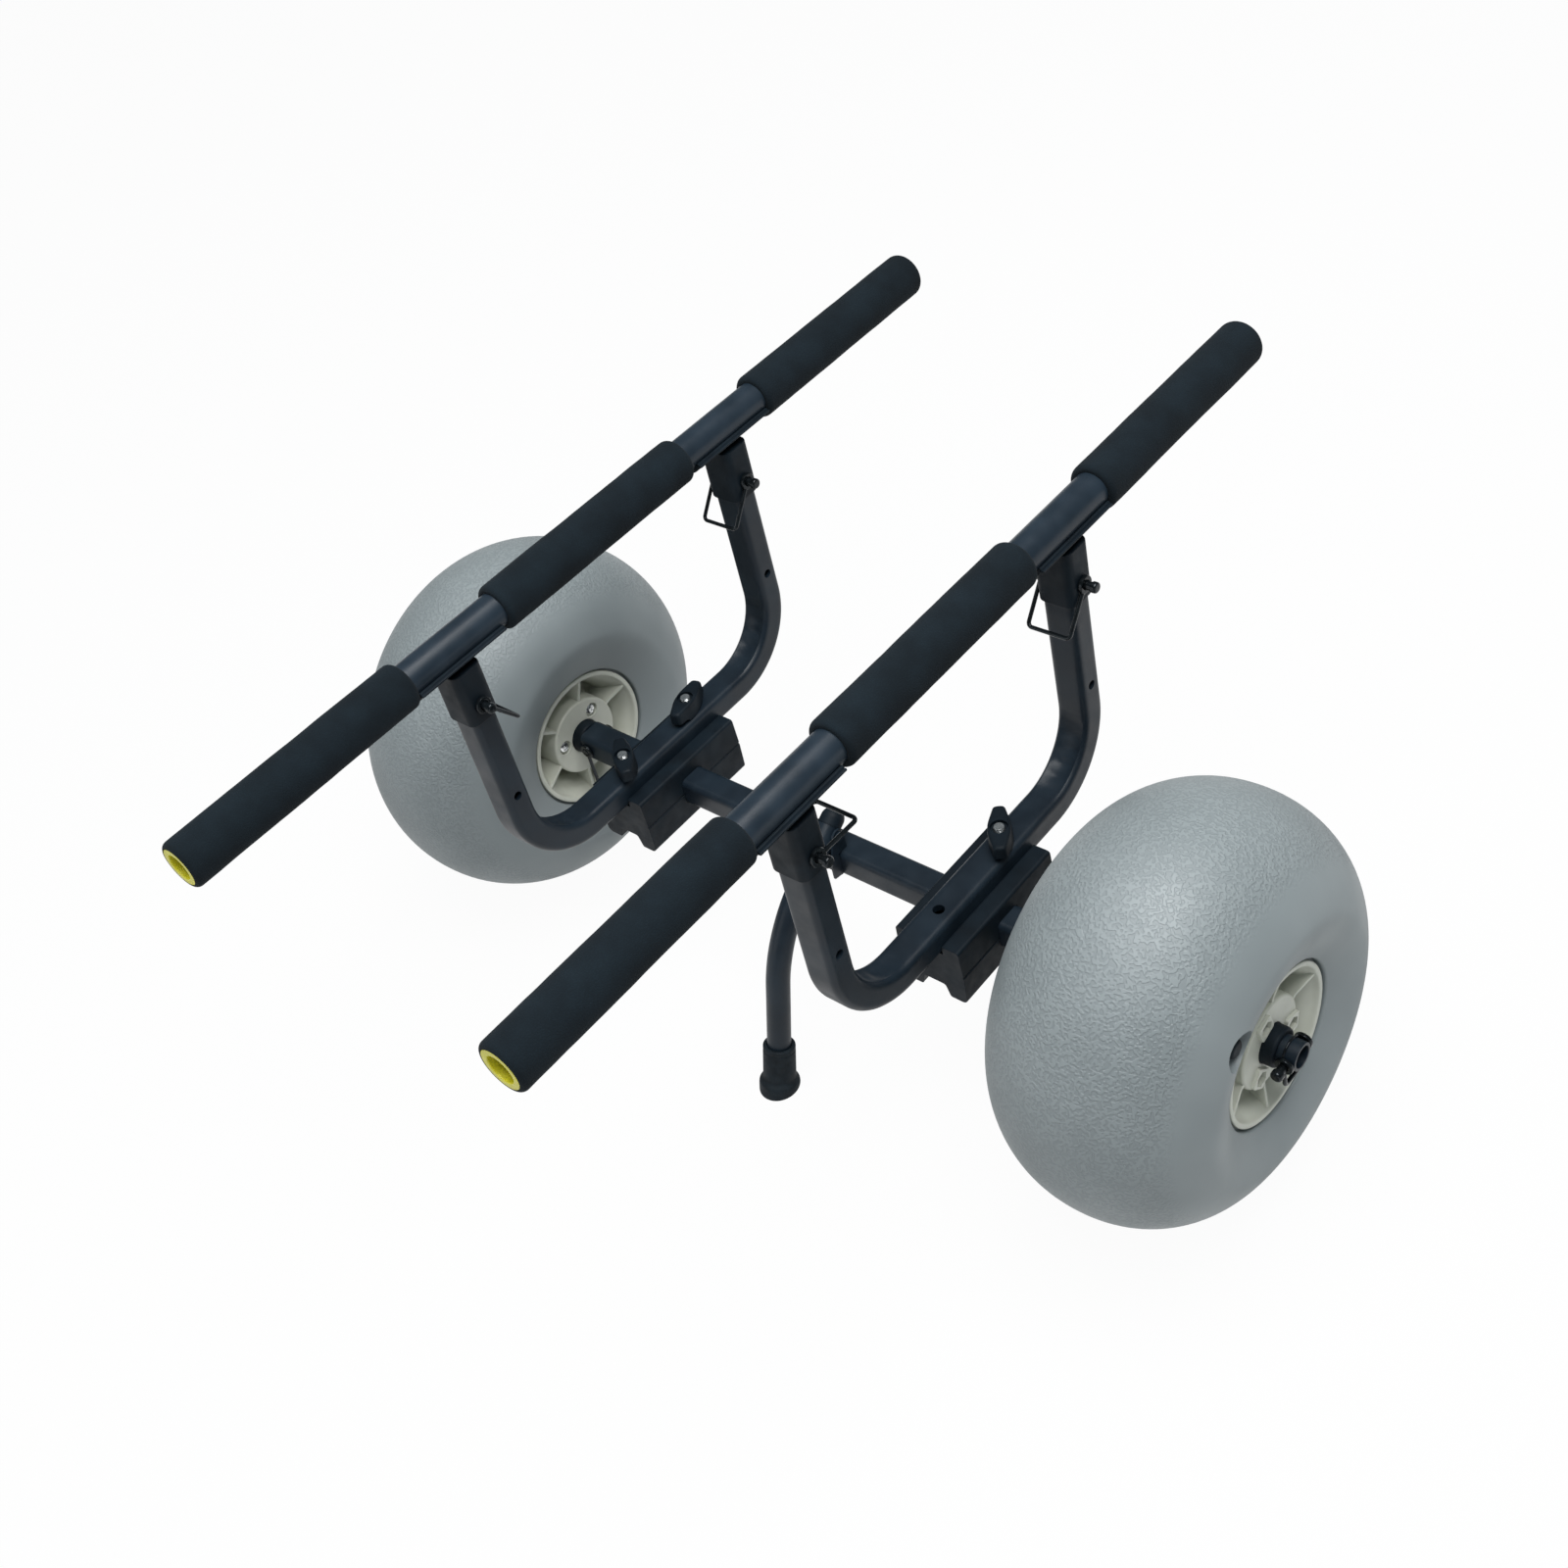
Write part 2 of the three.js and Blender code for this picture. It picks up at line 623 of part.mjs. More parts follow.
function addAxlePins(side, sign) {
  const outer = new THREE.Group();
  outer.position.x = sign * OUTER_PIN_X;
  const inner = new THREE.Group();
  inner.position.x = sign * INNER_PIN_X;
  for (const pin of [outer, inner]) {
    pin.rotation.z = -Math.PI / 2;
    axleLine.add(pin);
  }
  const outerPin = lockPin(
    OUTER_PIN_TAIL_REACH, OUTER_PIN_HEAD_REACH, AXLE_PIN_D, AXLE_PIN_HEAD_D, AXLE_PIN_HEAD_T);
  const innerPin = lockPin(INNER_PIN_REACH, INNER_PIN_REACH, AXLE_PIN_D, AXLE_PIN_D, 0);
  piece(`axle_pin_outer_${side}`, outerPin, blackWire, outer);
  piece(`axle_bail_outer_${side}`, bail(AXLE_D / 2, AXLE_PIN_D, OUTER_BAIL_L), blackWire, outer);
  piece(`axle_pin_inner_${side}`, innerPin, blackWire, inner);
  piece(`axle_bail_inner_${side}`, bail(BEAM_SIDE / 2, AXLE_PIN_D, INNER_BAIL_L), blackWire, inner);
}

// Clamp block that slides along the beam and carries the U-shaped tube. The tube is wider than deep.
const U_CENTRE_Z = BLOCK_SEAT_Z + GAP + U_DEPTH / 2;
const U_TOP_Z = U_CENTRE_Z + U_DEPTH / 2;

function boltPlaces() {
  return { front: -BOLT_SPACING / 2, rear: BOLT_SPACING / 2 };
}

function uprightHole(y, diameter) {
  const reach = U_TOP_Z - BLOCK_FOOT_Z;
  const hole = rod(-reach, reach, diameter / 2 + GAP, PIN_FACETS);
  return solid(hole.rotateY(Math.PI / 2).translate(0, y, 0));
}

function clampBlock() {
  const half = BLOCK_W / 2;
  const inset = half - BLOCK_DRAFT;
  const seat = U_WIDTH / 2 + GAP;
  const archFoot = half - BLOCK_FOOT_W;
  const right = [
    [archFoot, BLOCK_FOOT_Z],
    [inset - BLOCK_CORNER_R, BLOCK_FOOT_Z],
    [inset, BLOCK_FOOT_Z + BLOCK_CORNER_R],
    [half, BLOCK_SEAM_Z],
    [inset, BLOCK_TOP_Z - BLOCK_CORNER_R / 2],
    [inset - BLOCK_CORNER_R / 2, BLOCK_TOP_Z],
    [seat, BLOCK_TOP_Z],
    [seat, BLOCK_SEAT_Z],
  ];
  const arch = [[archFoot - BLOCK_CORNER_R, BLOCK_ARCH_Z]];
  const left = [...arch, ...right].map(([across, up]) => [-across, up]).reverse();
  const body = solid(extrudeAlongY([...arch, ...right, ...left], BLOCK_L));
  const tunnelSide = BEAM_SIDE + 2 * GAP;
  const tunnel = new THREE.ExtrudeGeometry(
    new THREE.Shape(roundedOblong(tunnelSide, tunnelSide, BEAM_CORNER_R)),
    { depth: BLOCK_W + 2 * OVERRUN, bevelEnabled: false },
  ).rotateY(Math.PI / 2).translate(-half - OVERRUN, 0, 0);
  const { front, rear } = boltPlaces();
  const bored = body.subtract(solid(tunnel));
  return bored.subtract(uprightHole(front, BOLT_D)).subtract(uprightHole(rear, BOLT_D));
}

const SOCKET_WIDTH = U_WIDTH + 2 * (GAP + SOCKET_WALL);
const SOCKET_DEPTH = U_DEPTH + 2 * (GAP + SOCKET_WALL);
const ARM_TOP_Z = BUNK_Z - BUNK_TUBE_D / 2 - GAP - SADDLE_WALL - SOCKET_ROOF;

function crossHole(z, diameter) {
  return solid(rod(-U_WIDTH, U_WIDTH, diameter / 2 + GAP, PIN_FACETS).translate(0, 0, z));
}

function uFrame() {
  const outer = roundedOblong(U_DEPTH, U_WIDTH, U_CORNER_R);
  const inner = plainOblong(U_DEPTH - 2 * U_WALL, U_WIDTH - 2 * U_WALL);
  const route = new BentRoute([
    [0, -U_ARM_Y, ARM_TOP_Z],
    [0, -U_ARM_Y, U_CENTRE_Z],
    [0, U_ARM_Y, U_CENTRE_Z],
    [0, U_ARM_Y, ARM_TOP_Z],
  ], U_BEND_R, BEND_STEPS);
  const { front, rear } = boltPlaces();
  let tube = solid(sweep(hollowSection(outer, inner), route));
  tube = tube.subtract(uprightHole(front, BOLT_D)).subtract(uprightHole(rear, BOLT_D));
  for (const y of [-U_ARM_Y, U_ARM_Y]) {
    tube = tube.subtract(crossHole(ARM_PIN_Z, ARM_PIN_D).translate([0, y, 0]));
    tube = tube.subtract(crossHole(ARM_SPARE_HOLE_Z, ARM_PIN_D).translate([0, y, 0]));
  }
  return tube;
}

function clampBolt() {
  const headBottom = BLOCK_ARCH_Z - GAP - BOLT_HEAD_H;
  const headTop = BLOCK_ARCH_Z - GAP;
  const top = U_TOP_Z + GAP + KNOB_H + BOLT_PROUD - KNOB_RECESS_H;
  const shank = solid(rod(-top, -headTop + OVERRUN, BOLT_D / 2, PIN_FACETS).rotateY(Math.PI / 2));
  const head = solid(rod(-headTop, -headBottom, BOLT_HEAD_AF / 2, HEX_SIDES).rotateY(Math.PI / 2));
  return shank.add(head);
}

// Wing knob: a long eight-sided grip with sloped edges and a recess round the bolt's end.
function wingKnob() {
  const tip = KNOB_TIP_W / 2 - KNOB_EDGE;
  const end = KNOB_L / 2 - KNOB_EDGE;
  const wide = KNOB_W / 2 - KNOB_EDGE;
  const flat = KNOB_FLAT_L / 2;
  const outline = [
    [-tip, -end], [tip, -end], [wide, -flat], [wide, flat],
    [tip, end], [-tip, end], [-wide, flat], [-wide, -flat],
  ];
  const shape = new THREE.Shape(outline.map(([x, y]) => new THREE.Vector2(x, y)));
  const grip = new THREE.ExtrudeGeometry(shape, {
    depth: KNOB_H - 2 * KNOB_EDGE,
    bevelThickness: KNOB_EDGE,
    bevelSize: KNOB_EDGE,
    bevelSegments: 1,
  }).translate(0, 0, KNOB_EDGE);
  const holeR = cornerReach(BOLT_D / 2, PIN_FACETS) + GAP;
  const hole = rod(-OVERRUN, KNOB_H + OVERRUN, holeR, PIN_FACETS).rotateY(-Math.PI / 2);
  const recessFrom = KNOB_H - KNOB_RECESS_H;
  const recess = rod(recessFrom, KNOB_H + OVERRUN, KNOB_RECESS_D / 2, PIN_FACETS).rotateY(-Math.PI / 2);
  return solid(grip).subtract(solid(hole)).subtract(solid(recess));
}

// Saddle: a cradle under the bunk tube over a socket that takes the top of an arm.
function saddle() {
  const seatR = BUNK_TUBE_D / 2 + GAP;
  const shellR = seatR + SADDLE_WALL;
  const lipTop = -SADDLE_LIP_DROP;
  const lipBottom = lipTop - SADDLE_LIP_H;
  const shellHalf = Math.sqrt(shellR ** 2 - lipBottom ** 2);
  const lipHalf = seatR + SADDLE_LIP_REACH;
  const [leftAngle, rightAngle] = [Math.atan2(lipBottom, -shellHalf), Math.atan2(lipBottom, shellHalf)];
  const outline = [[lipHalf, lipBottom], [lipHalf, lipTop], [-lipHalf, lipTop], [-lipHalf, lipBottom]];
  for (let i = 0; i <= PROFILE_STEPS; i += 1) {
    const angle = THREE.MathUtils.lerp(leftAngle, rightAngle, i / PROFILE_STEPS);
    outline.push([shellR * Math.cos(angle), shellR * Math.sin(angle)]);
  }
  const cradle = solid(extrudeAlongY(outline, SADDLE_L)).translate([0, 0, BUNK_Z]);
  const socketTop = BUNK_Z - seatR - SADDLE_WALL / 2;
  const socketShape = new THREE.Shape(roundedOblong(SOCKET_WIDTH, SOCKET_DEPTH, U_CORNER_R + SOCKET_WALL));
  const socketH = socketTop - SOCKET_BOTTOM_Z;
  const socket = new THREE.ExtrudeGeometry(socketShape, { depth: socketH, bevelEnabled: false })
    .translate(0, 0, SOCKET_BOTTOM_Z);
  const seat = rod(-SADDLE_L, SADDLE_L, seatR, TUBE_FACETS);
  const tubeSpace = solid(seat.rotateZ(Math.PI / 2).translate(0, 0, BUNK_Z));
  const cavityShape = new THREE.Shape(roundedOblong(U_WIDTH + 2 * GAP, U_DEPTH + 2 * GAP, U_CORNER_R));
  const cavityDepth = ARM_TOP_Z + GAP - SOCKET_BOTTOM_Z + OVERRUN;
  const cavity = new THREE.ExtrudeGeometry(cavityShape, { depth: cavityDepth, bevelEnabled: false })
    .translate(0, 0, SOCKET_BOTTOM_Z - OVERRUN);
  const body = cradle.add(solid(socket)).subtract(tubeSpace).subtract(solid(cavity));
  return body.subtract(crossHole(ARM_PIN_Z, ARM_PIN_D));
}

// Bunk pieces, along Y.
function alongY(geometry) {
  return geometry.rotateZ(Math.PI / 2);
}

function foamSleeve(length, pocket) {
  const end = length / 2;
  const outer = FOAM_D / 2;
  const inner = BUNK_TUBE_D / 2 + GAP;
  const mouthR = PLUG_FLANGE_D / 2 + GAP;
  const mouth = pocket > 0 ? [[end, mouthR], [end - pocket, mouthR]] : [];
  return alongY(turned([
    [-end, inner],
    [-end, outer - FOAM_EDGE_R],
    [-end + FOAM_EDGE_R, outer],
    [end - FOAM_EDGE_R, outer],
    [end, outer - FOAM_EDGE_R],
    ...mouth,
    [pocket > 0 ? end - pocket : end, inner],
  ], FOAM_FACETS));
}

function endPlug() {
  const spigotR = BUNK_TUBE_D / 2 - BUNK_TUBE_WALL - GAP;
  const holeR = PLUG_HOLE_D / 2;
  return alongY(turned([
    [0, holeR],
    [0, PLUG_FLANGE_D / 2],
    [-PLUG_FLANGE_T, PLUG_FLANGE_D / 2],
    [-PLUG_FLANGE_T, spigotR],
    [-PLUG_FLANGE_T - PLUG_SPIGOT_L, spigotR],
    [-PLUG_FLANGE_T - PLUG_SPIGOT_L, holeR],
  ], TUBE_FACETS));
}

function addBunkFrame(side, sign, boltedEnds, raisedBails) {
  const frame = new THREE.Group();
  frame.position.x = sign * (BEAM_END_X - BUNK_INSET_X) + BUNK_SHIFT_X;
  axleLine.add(frame);
  piece(`clamp_block_${side}`, clampBlock(), blackPlastic, frame);
  piece(`u_frame_${side}`, uFrame(), blackTube, frame);
  for (const end of boltedEnds) {
    const y = boltPlaces()[end];
    const turn = KNOB_ANGLES_DEG[`${side}_${end}`] * DEG;
    piece(`clamp_bolt_${side}_${end}`, clampBolt(), zincSteel, frame, [0, y, 0]);
    const top = [0, y, U_TOP_Z + GAP];
    piece(`wing_knob_${side}_${end}`, wingKnob(), blackPlastic, frame, top, [0, 0, turn]);
  }
  for (const [end, y, inward] of [['front', -U_ARM_Y, 1], ['rear', U_ARM_Y, -1]]) {
    piece(`saddle_${side}_${end}`, saddle(), blackPlastic, frame, [0, y, 0]);
    const hang = raisedBails.includes(end) ? BAIL_RAISED_DEG : BAIL_HANG_DEG;
    const swing = inward * (90 - hang) * DEG;
    const pin = lockPin(
      ARM_PIN_TAIL_REACH, ARM_PIN_HEAD_REACH, ARM_PIN_D, ARM_PIN_HEAD_D, ARM_PIN_HEAD_T);
    const wire = bail(SOCKET_WIDTH / 2, ARM_PIN_D, ARM_BAIL_L);
    piece(`arm_pin_${side}_${end}`, pin, blackWire, frame, [0, y, ARM_PIN_Z]);
    piece(`arm_bail_${side}_${end}`, wire, blackWire, frame, [0, y, ARM_PIN_Z], [swing, 0, 0]);
  }
  const bunk = new THREE.Group();
  bunk.position.z = BUNK_Z;
  frame.add(bunk);
  const tubeEnd = BUNK_L / 2;
  const tube = pipe(-tubeEnd, tubeEnd, BUNK_TUBE_D / 2, BUNK_TUBE_D / 2 - BUNK_TUBE_WALL, TUBE_FACETS);
  piece(`bunk_tube_${side}`, alongY(tube), bunkTubePaint, bunk);
  const plugFace = tubeEnd + GAP + PLUG_FLANGE_T;
  const middleLength = 2 * (U_ARM_Y - SADDLE_L / 2 - FOAM_INNER_CLEAR);
  const endStart = U_ARM_Y + SADDLE_L / 2 + FOAM_OUTER_CLEAR;
  const endLength = plugFace - endStart;
  const endY = (plugFace + endStart) / 2;
  const pocket = PLUG_FLANGE_T + 2 * GAP;
  const turnedRound = [0, 0, Math.PI];
  piece(`foam_${side}_front`, foamSleeve(endLength, pocket), foamRubber, bunk, [0, -endY, 0], turnedRound);
  piece(`foam_${side}_middle`, foamSleeve(middleLength, 0), foamRubber, bunk);
  piece(`foam_${side}_rear`, foamSleeve(endLength, pocket), foamRubber, bunk, [0, endY, 0]);
  piece(`end_plug_${side}_front`, endPlug(), yellowPlastic, bunk, [0, -plugFace, 0], turnedRound);
  piece(`end_plug_${side}_rear`, endPlug(), yellowPlastic, bunk, [0, plugFace, 0]);
}

// Kickstand. Directions are in the YZ plane, and its own group stands at STAND_X.
const upperDown = [Math.cos(STAND_UPPER_DEG * DEG), Math.sin(STAND_UPPER_DEG * DEG)];
const lowerDown = [Math.cos(STAND_LOWER_DEG * DEG), Math.sin(STAND_LOWER_DEG * DEG)];

function downRun(from, direction, distance) {
  return [from[0] - direction[0] * distance, from[1] - direction[1] * distance];
}

const standPivot = [STAND_PIVOT_Y, STAND_PIVOT_Z];
const standRim = downRun(standPivot, upperDown, -STAND_PIVOT_SETBACK);
const standCorner = downRun(standPivot, upperDown, STAND_CORNER_RUN);
const groundRun = (standCorner[1] + AXLE_Z) / lowerDown[1];
const footTop = downRun(standCorner, lowerDown, groundRun - FOOT_COLLAR_L - FOOT_FLARE_L);
const legEnd = downRun(footTop, lowerDown, FOOT_GRIP_L);

function pivotHole(radius) {
  const reach = STAND_TUBE_D + BRACKET_T;
  return solid(rod(-reach, reach, radius + GAP, PIN_FACETS).translate(0, ...standPivot));
}

function standLeg() {
  const outer = roundSection(STAND_TUBE_D / 2, LEG_FACETS);
  const inner = roundSection(STAND_TUBE_D / 2 - STAND_WALL, LEG_BORE_FACETS);
  const corners = [standRim, standCorner, legEnd].map(([y, z]) => [0, y, z]);
  const route = new BentRoute(corners, STAND_BEND_R, BEND_STEPS);
  return solid(sweep(hollowSection(outer, inner), route)).subtract(pivotHole(STAND_PIN_D / 2));
}

function standCap() {
  const radius = STAND_TUBE_D / 2 - GAP;
  const spigotR = STAND_TUBE_D / 2 - STAND_WALL - GAP;
  const outline = [[-STAND_CAP_SPIGOT, 0], [-STAND_CAP_SPIGOT, spigotR], [GAP, spigotR], [GAP, radius]];
  for (let i = 0; i < PROFILE_STEPS / 2; i += 1) {
    const angle = i / (PROFILE_STEPS / 2) * Math.PI / 2;
    outline.push([STAND_CAP_COLLAR + radius * Math.sin(angle), radius * Math.cos(angle)]);
  }
  outline.push([STAND_CAP_COLLAR + radius, 0]);
  return turned(outline, TUBE_FACETS);
}

function standFoot() {
  const collarR = FOOT_COLLAR_D / 2;
  const flareR = FOOT_FLARE_D / 2;
  const boreR = STAND_TUBE_D / 2 + GAP;
  const bottom = FOOT_COLLAR_L + FOOT_FLARE_L + FOOT_FLARE_D / 2;
  const body = turned([
    [FOOT_GRIP_L + GAP, 0],
    [FOOT_GRIP_L + GAP, boreR],
    [0, boreR],
    [0, collarR - FOOT_EDGE],
    [FOOT_EDGE, collarR],
    [FOOT_COLLAR_L, collarR + FOOT_TAPER],
    [FOOT_COLLAR_L + FOOT_EDGE, flareR - FOOT_TAPER],
    [FOOT_COLLAR_L + 2 * FOOT_EDGE, flareR],
    [bottom, flareR],
    [bottom, 0],
  ], TUBE_FACETS);
  body.rotateZ(-Math.PI / 2).rotateX(STAND_LOWER_DEG * DEG).translate(0, ...footTop);
  const ground = block([-WHEEL_D, -WHEEL_D, -WHEEL_D - AXLE_Z], [WHEEL_D, WHEEL_D, -AXLE_Z]);
  return solid(body).subtract(solid(ground));
}

// Bracket: a plate on the beam's front face, two ears for the pivot pin and a stop under the leg.
function standBracket() {
  const face = -BEAM_SIDE / 2 - GAP;
  const earInner = STAND_TUBE_D / 2 + GAP;
  const earOuter = earInner + BRACKET_T;
  const front = face - BRACKET_FRONT;
  const beamTop = BEAM_SIDE / 2 + GAP;
  const [pivotY, pivotZ] = standPivot;
  const outline = [
    [front, BRACKET_PLATE_LOW_Z + BRACKET_T],
    [face, BRACKET_PLATE_LOW_Z],
    [face, beamTop],
    [pivotY + BRACKET_EAR_R, beamTop],
  ];
  for (let i = 0; i <= PROFILE_STEPS; i += 1) {
    const angle = i / PROFILE_STEPS * Math.PI;
    outline.push([pivotY + BRACKET_EAR_R * Math.cos(angle), pivotZ + BRACKET_EAR_R * Math.sin(angle)]);
  }
  outline.push([front, BRACKET_PLATE_TOP_Z]);
  const ear = new THREE.ExtrudeGeometry(
    new THREE.Shape(outline.map(([y, z]) => new THREE.Vector2(y, z))),
    { depth: BRACKET_T, bevelEnabled: false },
  ).rotateZ(Math.PI / 2).rotateY(Math.PI / 2);
  const rightEar = solid(ear.clone().translate(earInner, 0, 0));
  const leftEar = solid(ear.clone().translate(-earOuter, 0, 0));
  const ears = rightEar.add(leftEar);
  const plate = solid(block(
    [-earOuter, face - BRACKET_T, BRACKET_PLATE_LOW_Z],
    [earOuter, face, BRACKET_PLATE_TOP_Z],
  ));
  const underside = pivotZ - (pivotY - front) * Math.tan(STAND_UPPER_DEG * DEG)
    - STAND_TUBE_D / 2 / Math.cos(STAND_UPPER_DEG * DEG);
  const stopTop = underside - GAP;
  const stop = solid(block(
    [-earInner - GAP, front, stopTop - 2 * BRACKET_T],
    [earInner + GAP, face, stopTop],
  ));
  return ears.add(plate).add(stop).subtract(pivotHole(STAND_PIN_D / 2));
}

function standPin() {
  const grip = STAND_TUBE_D / 2 + GAP + BRACKET_T + GAP;
  const shaft = STAND_PIN_D / 2;
  const head = STAND_PIN_HEAD_D / 2;
  const end = grip + STAND_PIN_HEAD_T;
  return turned([
    [-end, 0], [-end, head], [-grip, head], [-grip, shaft],
    [grip, shaft], [grip, head], [end, head], [end, 0],
  ], PIN_FACETS);
}

function addKickstand() {
  const stand = new THREE.Group();
  stand.position.x = STAND_X;
  axleLine.add(stand);
  piece('kickstand_bracket', standBracket(), blackTube, stand);
  piece('kickstand_pivot', standPin(), blackTube, stand, [0, ...standPivot]);
  piece('kickstand_leg', standLeg(), blackTube, stand);
  const cap = standCap().rotateZ(Math.PI / 2).rotateX(STAND_UPPER_DEG * DEG);
  piece('kickstand_cap', cap, blackPlastic, stand, [0, ...standRim]);
  piece('kickstand_foot', standFoot(), blackRubber, stand);
}

addBeam();
for (const [side, sign] of [['left', -1], ['right', 1]]) {
  addWheel(side, sign);
  addAxle(side, sign);
  addAxlePins(side, sign);
}
addBunkFrame('left', -1, ['front', 'rear'], []);
addBunkFrame('right', 1, ['rear'], ['front']);
addKickstand();

export default cart;
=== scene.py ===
# Kayak cart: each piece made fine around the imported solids, with its finish.
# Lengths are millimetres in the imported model's frame, and become metres where a mesh is made.
import json
import math

import bmesh
import bpy
from mathutils import Matrix, Vector, noise


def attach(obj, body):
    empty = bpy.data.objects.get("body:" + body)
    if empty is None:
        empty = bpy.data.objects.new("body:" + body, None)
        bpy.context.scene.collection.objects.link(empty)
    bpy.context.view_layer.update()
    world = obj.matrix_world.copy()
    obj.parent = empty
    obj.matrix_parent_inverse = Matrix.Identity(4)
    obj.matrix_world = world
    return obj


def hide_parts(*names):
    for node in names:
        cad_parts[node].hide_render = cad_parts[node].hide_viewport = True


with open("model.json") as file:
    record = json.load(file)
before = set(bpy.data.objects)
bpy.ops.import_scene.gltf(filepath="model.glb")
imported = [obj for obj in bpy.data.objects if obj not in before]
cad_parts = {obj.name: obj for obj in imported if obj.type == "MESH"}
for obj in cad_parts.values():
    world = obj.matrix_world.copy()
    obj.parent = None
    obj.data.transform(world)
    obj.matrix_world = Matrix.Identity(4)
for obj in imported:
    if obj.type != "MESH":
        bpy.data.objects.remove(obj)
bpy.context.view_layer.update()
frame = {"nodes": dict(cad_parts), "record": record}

MM = 0.001
X, Y = Vector((1, 0, 0)), Vector((0, 1, 0))

# Places of the main pieces.
AXLE_Z = 150
WHEEL_X = 313.5
FRAME_X = {"left": -149.7, "right": 152.7}
SIDE_SIGN = {"left": -1, "right": 1}
ARM_Y = 142.5
END_SIGN = {"front": -1, "rear": 1}
BUNK_Z = 388.7
ARM_PIN_Z = 344
STAND_X = 27.5
GAP = 0.3

# Wheels. The tread's grain fades in between two radii, and the valve sits in an oval bowl, given by its
# centre and its half axes.
TYRE_R = 150
TYRE_WALL = 5
TYRE_FACETS = 144
TYRE_BORE_R = 56
TYRE_BEAD_X = 65.7
TYRE_MOUTH_R = 59.5
TYRE_MOUTH_X = 71.4
TYRE_SIDE_PULL = (85, 84.5)
CROWN_HALF = 86
CROWN_BASE_R = 66
CROWN_POWER = 0.966
CROWN_START = math.radians(20)
TREAD_GRAIN_R = (117, 128)
VALVE_ANGLE = math.radians(132)
VALVE_R = 87
VALVE_Y, VALVE_Z = VALVE_R * math.cos(VALVE_ANGLE), VALVE_R * math.sin(VALVE_ANGLE)
VALVE_RECESS_X = 83
VALVE_RECESS_HALF = (16, 12, 14)
VALVE_START_X = 67
# The valve's foot is wide enough to fill the bowl's floor in black rubber: partly the real foot, partly
# painted shade, a black stand-in for the shadow in the bowl.
VALVE_FOOT_AND_SHADE_R = 7.8
VALVE_PAD_R = 19
HUB_FACETS = 96
HUB_RIBS = 6
HUB_RIB_START = math.radians(18)
HUB_RIB_T = 2.6
HUB_FACE_X = 65.5
HUB_PARTING_X = 0.2
HUB_BORE_R = 14.3
SCREW_R = 22.3
SCREW_WELL_R = 6.2
SCREW_WELL_DEPTH = 3
SCREW_HEAD_R = 4.9
SCREW_ANGLES = [math.radians(a) for a in (50, 170, 290)]
NUT_R = 24
NUT_POCKET_R = 6
NUT_POCKET_DEPTH = 8
NUT_CORNER_R = 5
NUT_H = 3.2
NUT_ANGLES = [math.radians(a) for a in (108, 228, 348)]
FASTENER_SINK = 0.05
BUSHING_ENDS = (-74.5, 74.5)

# Cross beam and axle stubs. A wire wraps the axle's end over WRAP_TURN degrees.
BEAM_END = 238.7
BEAM_SIDE = 24
BEAM_CORNER = 5
BEAM_WALL = 1.5
AXLE_END = 401
AXLE_START = 149
AXLE_R = 10
AXLE_WALL = 2.2
OUTER_PIN_X = 395
INNER_PIN_X = 232.2
AXLE_PIN_D = 6
AXLE_PIN_HEAD = (8.2, 5)
OUTER_BAIL_L = 20
INNER_BAIL_L = 40
WIRE_D = 3
WRAP_R = 11
WRAP_WIRE_R = 0.8
WRAP_START = 24
WRAP_TURN = 146

# Bunk frames.
U_WIDTH = 25
U_DEPTH = 21
U_CORNER = 4.5
U_WALL = 1.8
U_BEND_R = 57
U_LOW_Z = AXLE_Z + 27
U_TOP_FACE_Z = U_LOW_Z + U_DEPTH / 2
U_ARM_TOP_Z = BUNK_Z - 18.7
BEND_DENT = 3.2
BLOCK_HALF_W = 28
BLOCK_L = 110
BLOCK_ARCH_DROP = 17.5
BOLT_Y = 37
BOLT_D = 8
BOLT_HEAD_R = 7.2
BOLT_HEAD_H = 5.5
THREAD_PITCH = 1.25
KNOB_HALF_L = 22
KNOB_H = 14
KNOB_ANGLES = {"left_front": 52, "left_rear": 17, "right_rear": 36}
SPARE_HOLE_Z = AXLE_Z + 104
PIN_HOLE_D = 7
ARM_PIN_D = 6.4
ARM_PIN_HEAD = (8, 4)
ARM_BAIL_L = 38
BAIL_HANG = 52
BAIL_RAISED = 2
SOCKET_WIDTH = 30
SOCKET_DEPTH = 26
SOCKET_LOW_Z = 330
SADDLE_L = 80
SADDLE_WALL = 2.4

# Bunks.
BUNK_TUBE_R = 13
BUNK_TUBE_HALF = 373.3
BUNK_TUBE_WALL = 1.8
FOAM_R = 18
FOAM_L = 193.33
FOAM_PITCH = 279.93
FOAM_END_RUN = 4.2
FOAM_END_DROP = 3.6
PLUG_FACE = 376.6
PLUG_R = 14.5
PLUG_T = 3
PLUG_SPIGOT_L = 14
PLUG_HOLE_R = 9.7

# Kickstand, in the plane across STAND_X: the pivot, the way the tube runs, its cap and its foot.
STAND_R = 9.2
STAND_WALL = 1.6
STAND_PIN_D = 5.6
STAND_PIVOT = Vector((0, -8.8, AXLE_Z + 27.25))
STAND_UPPER = math.radians(31.5)
STAND_LOWER = math.radians(73.5)
STAND_CORNER_RUN = 83
STAND_BEND_R = 120
CAP_SIDE = 6
CAP_RISE = 0.98
FOOT_COLLAR_L = 31
FOOT_FLARE_L = 8
FOOT_GRIP_L = 24
FOOT_R = 15.75

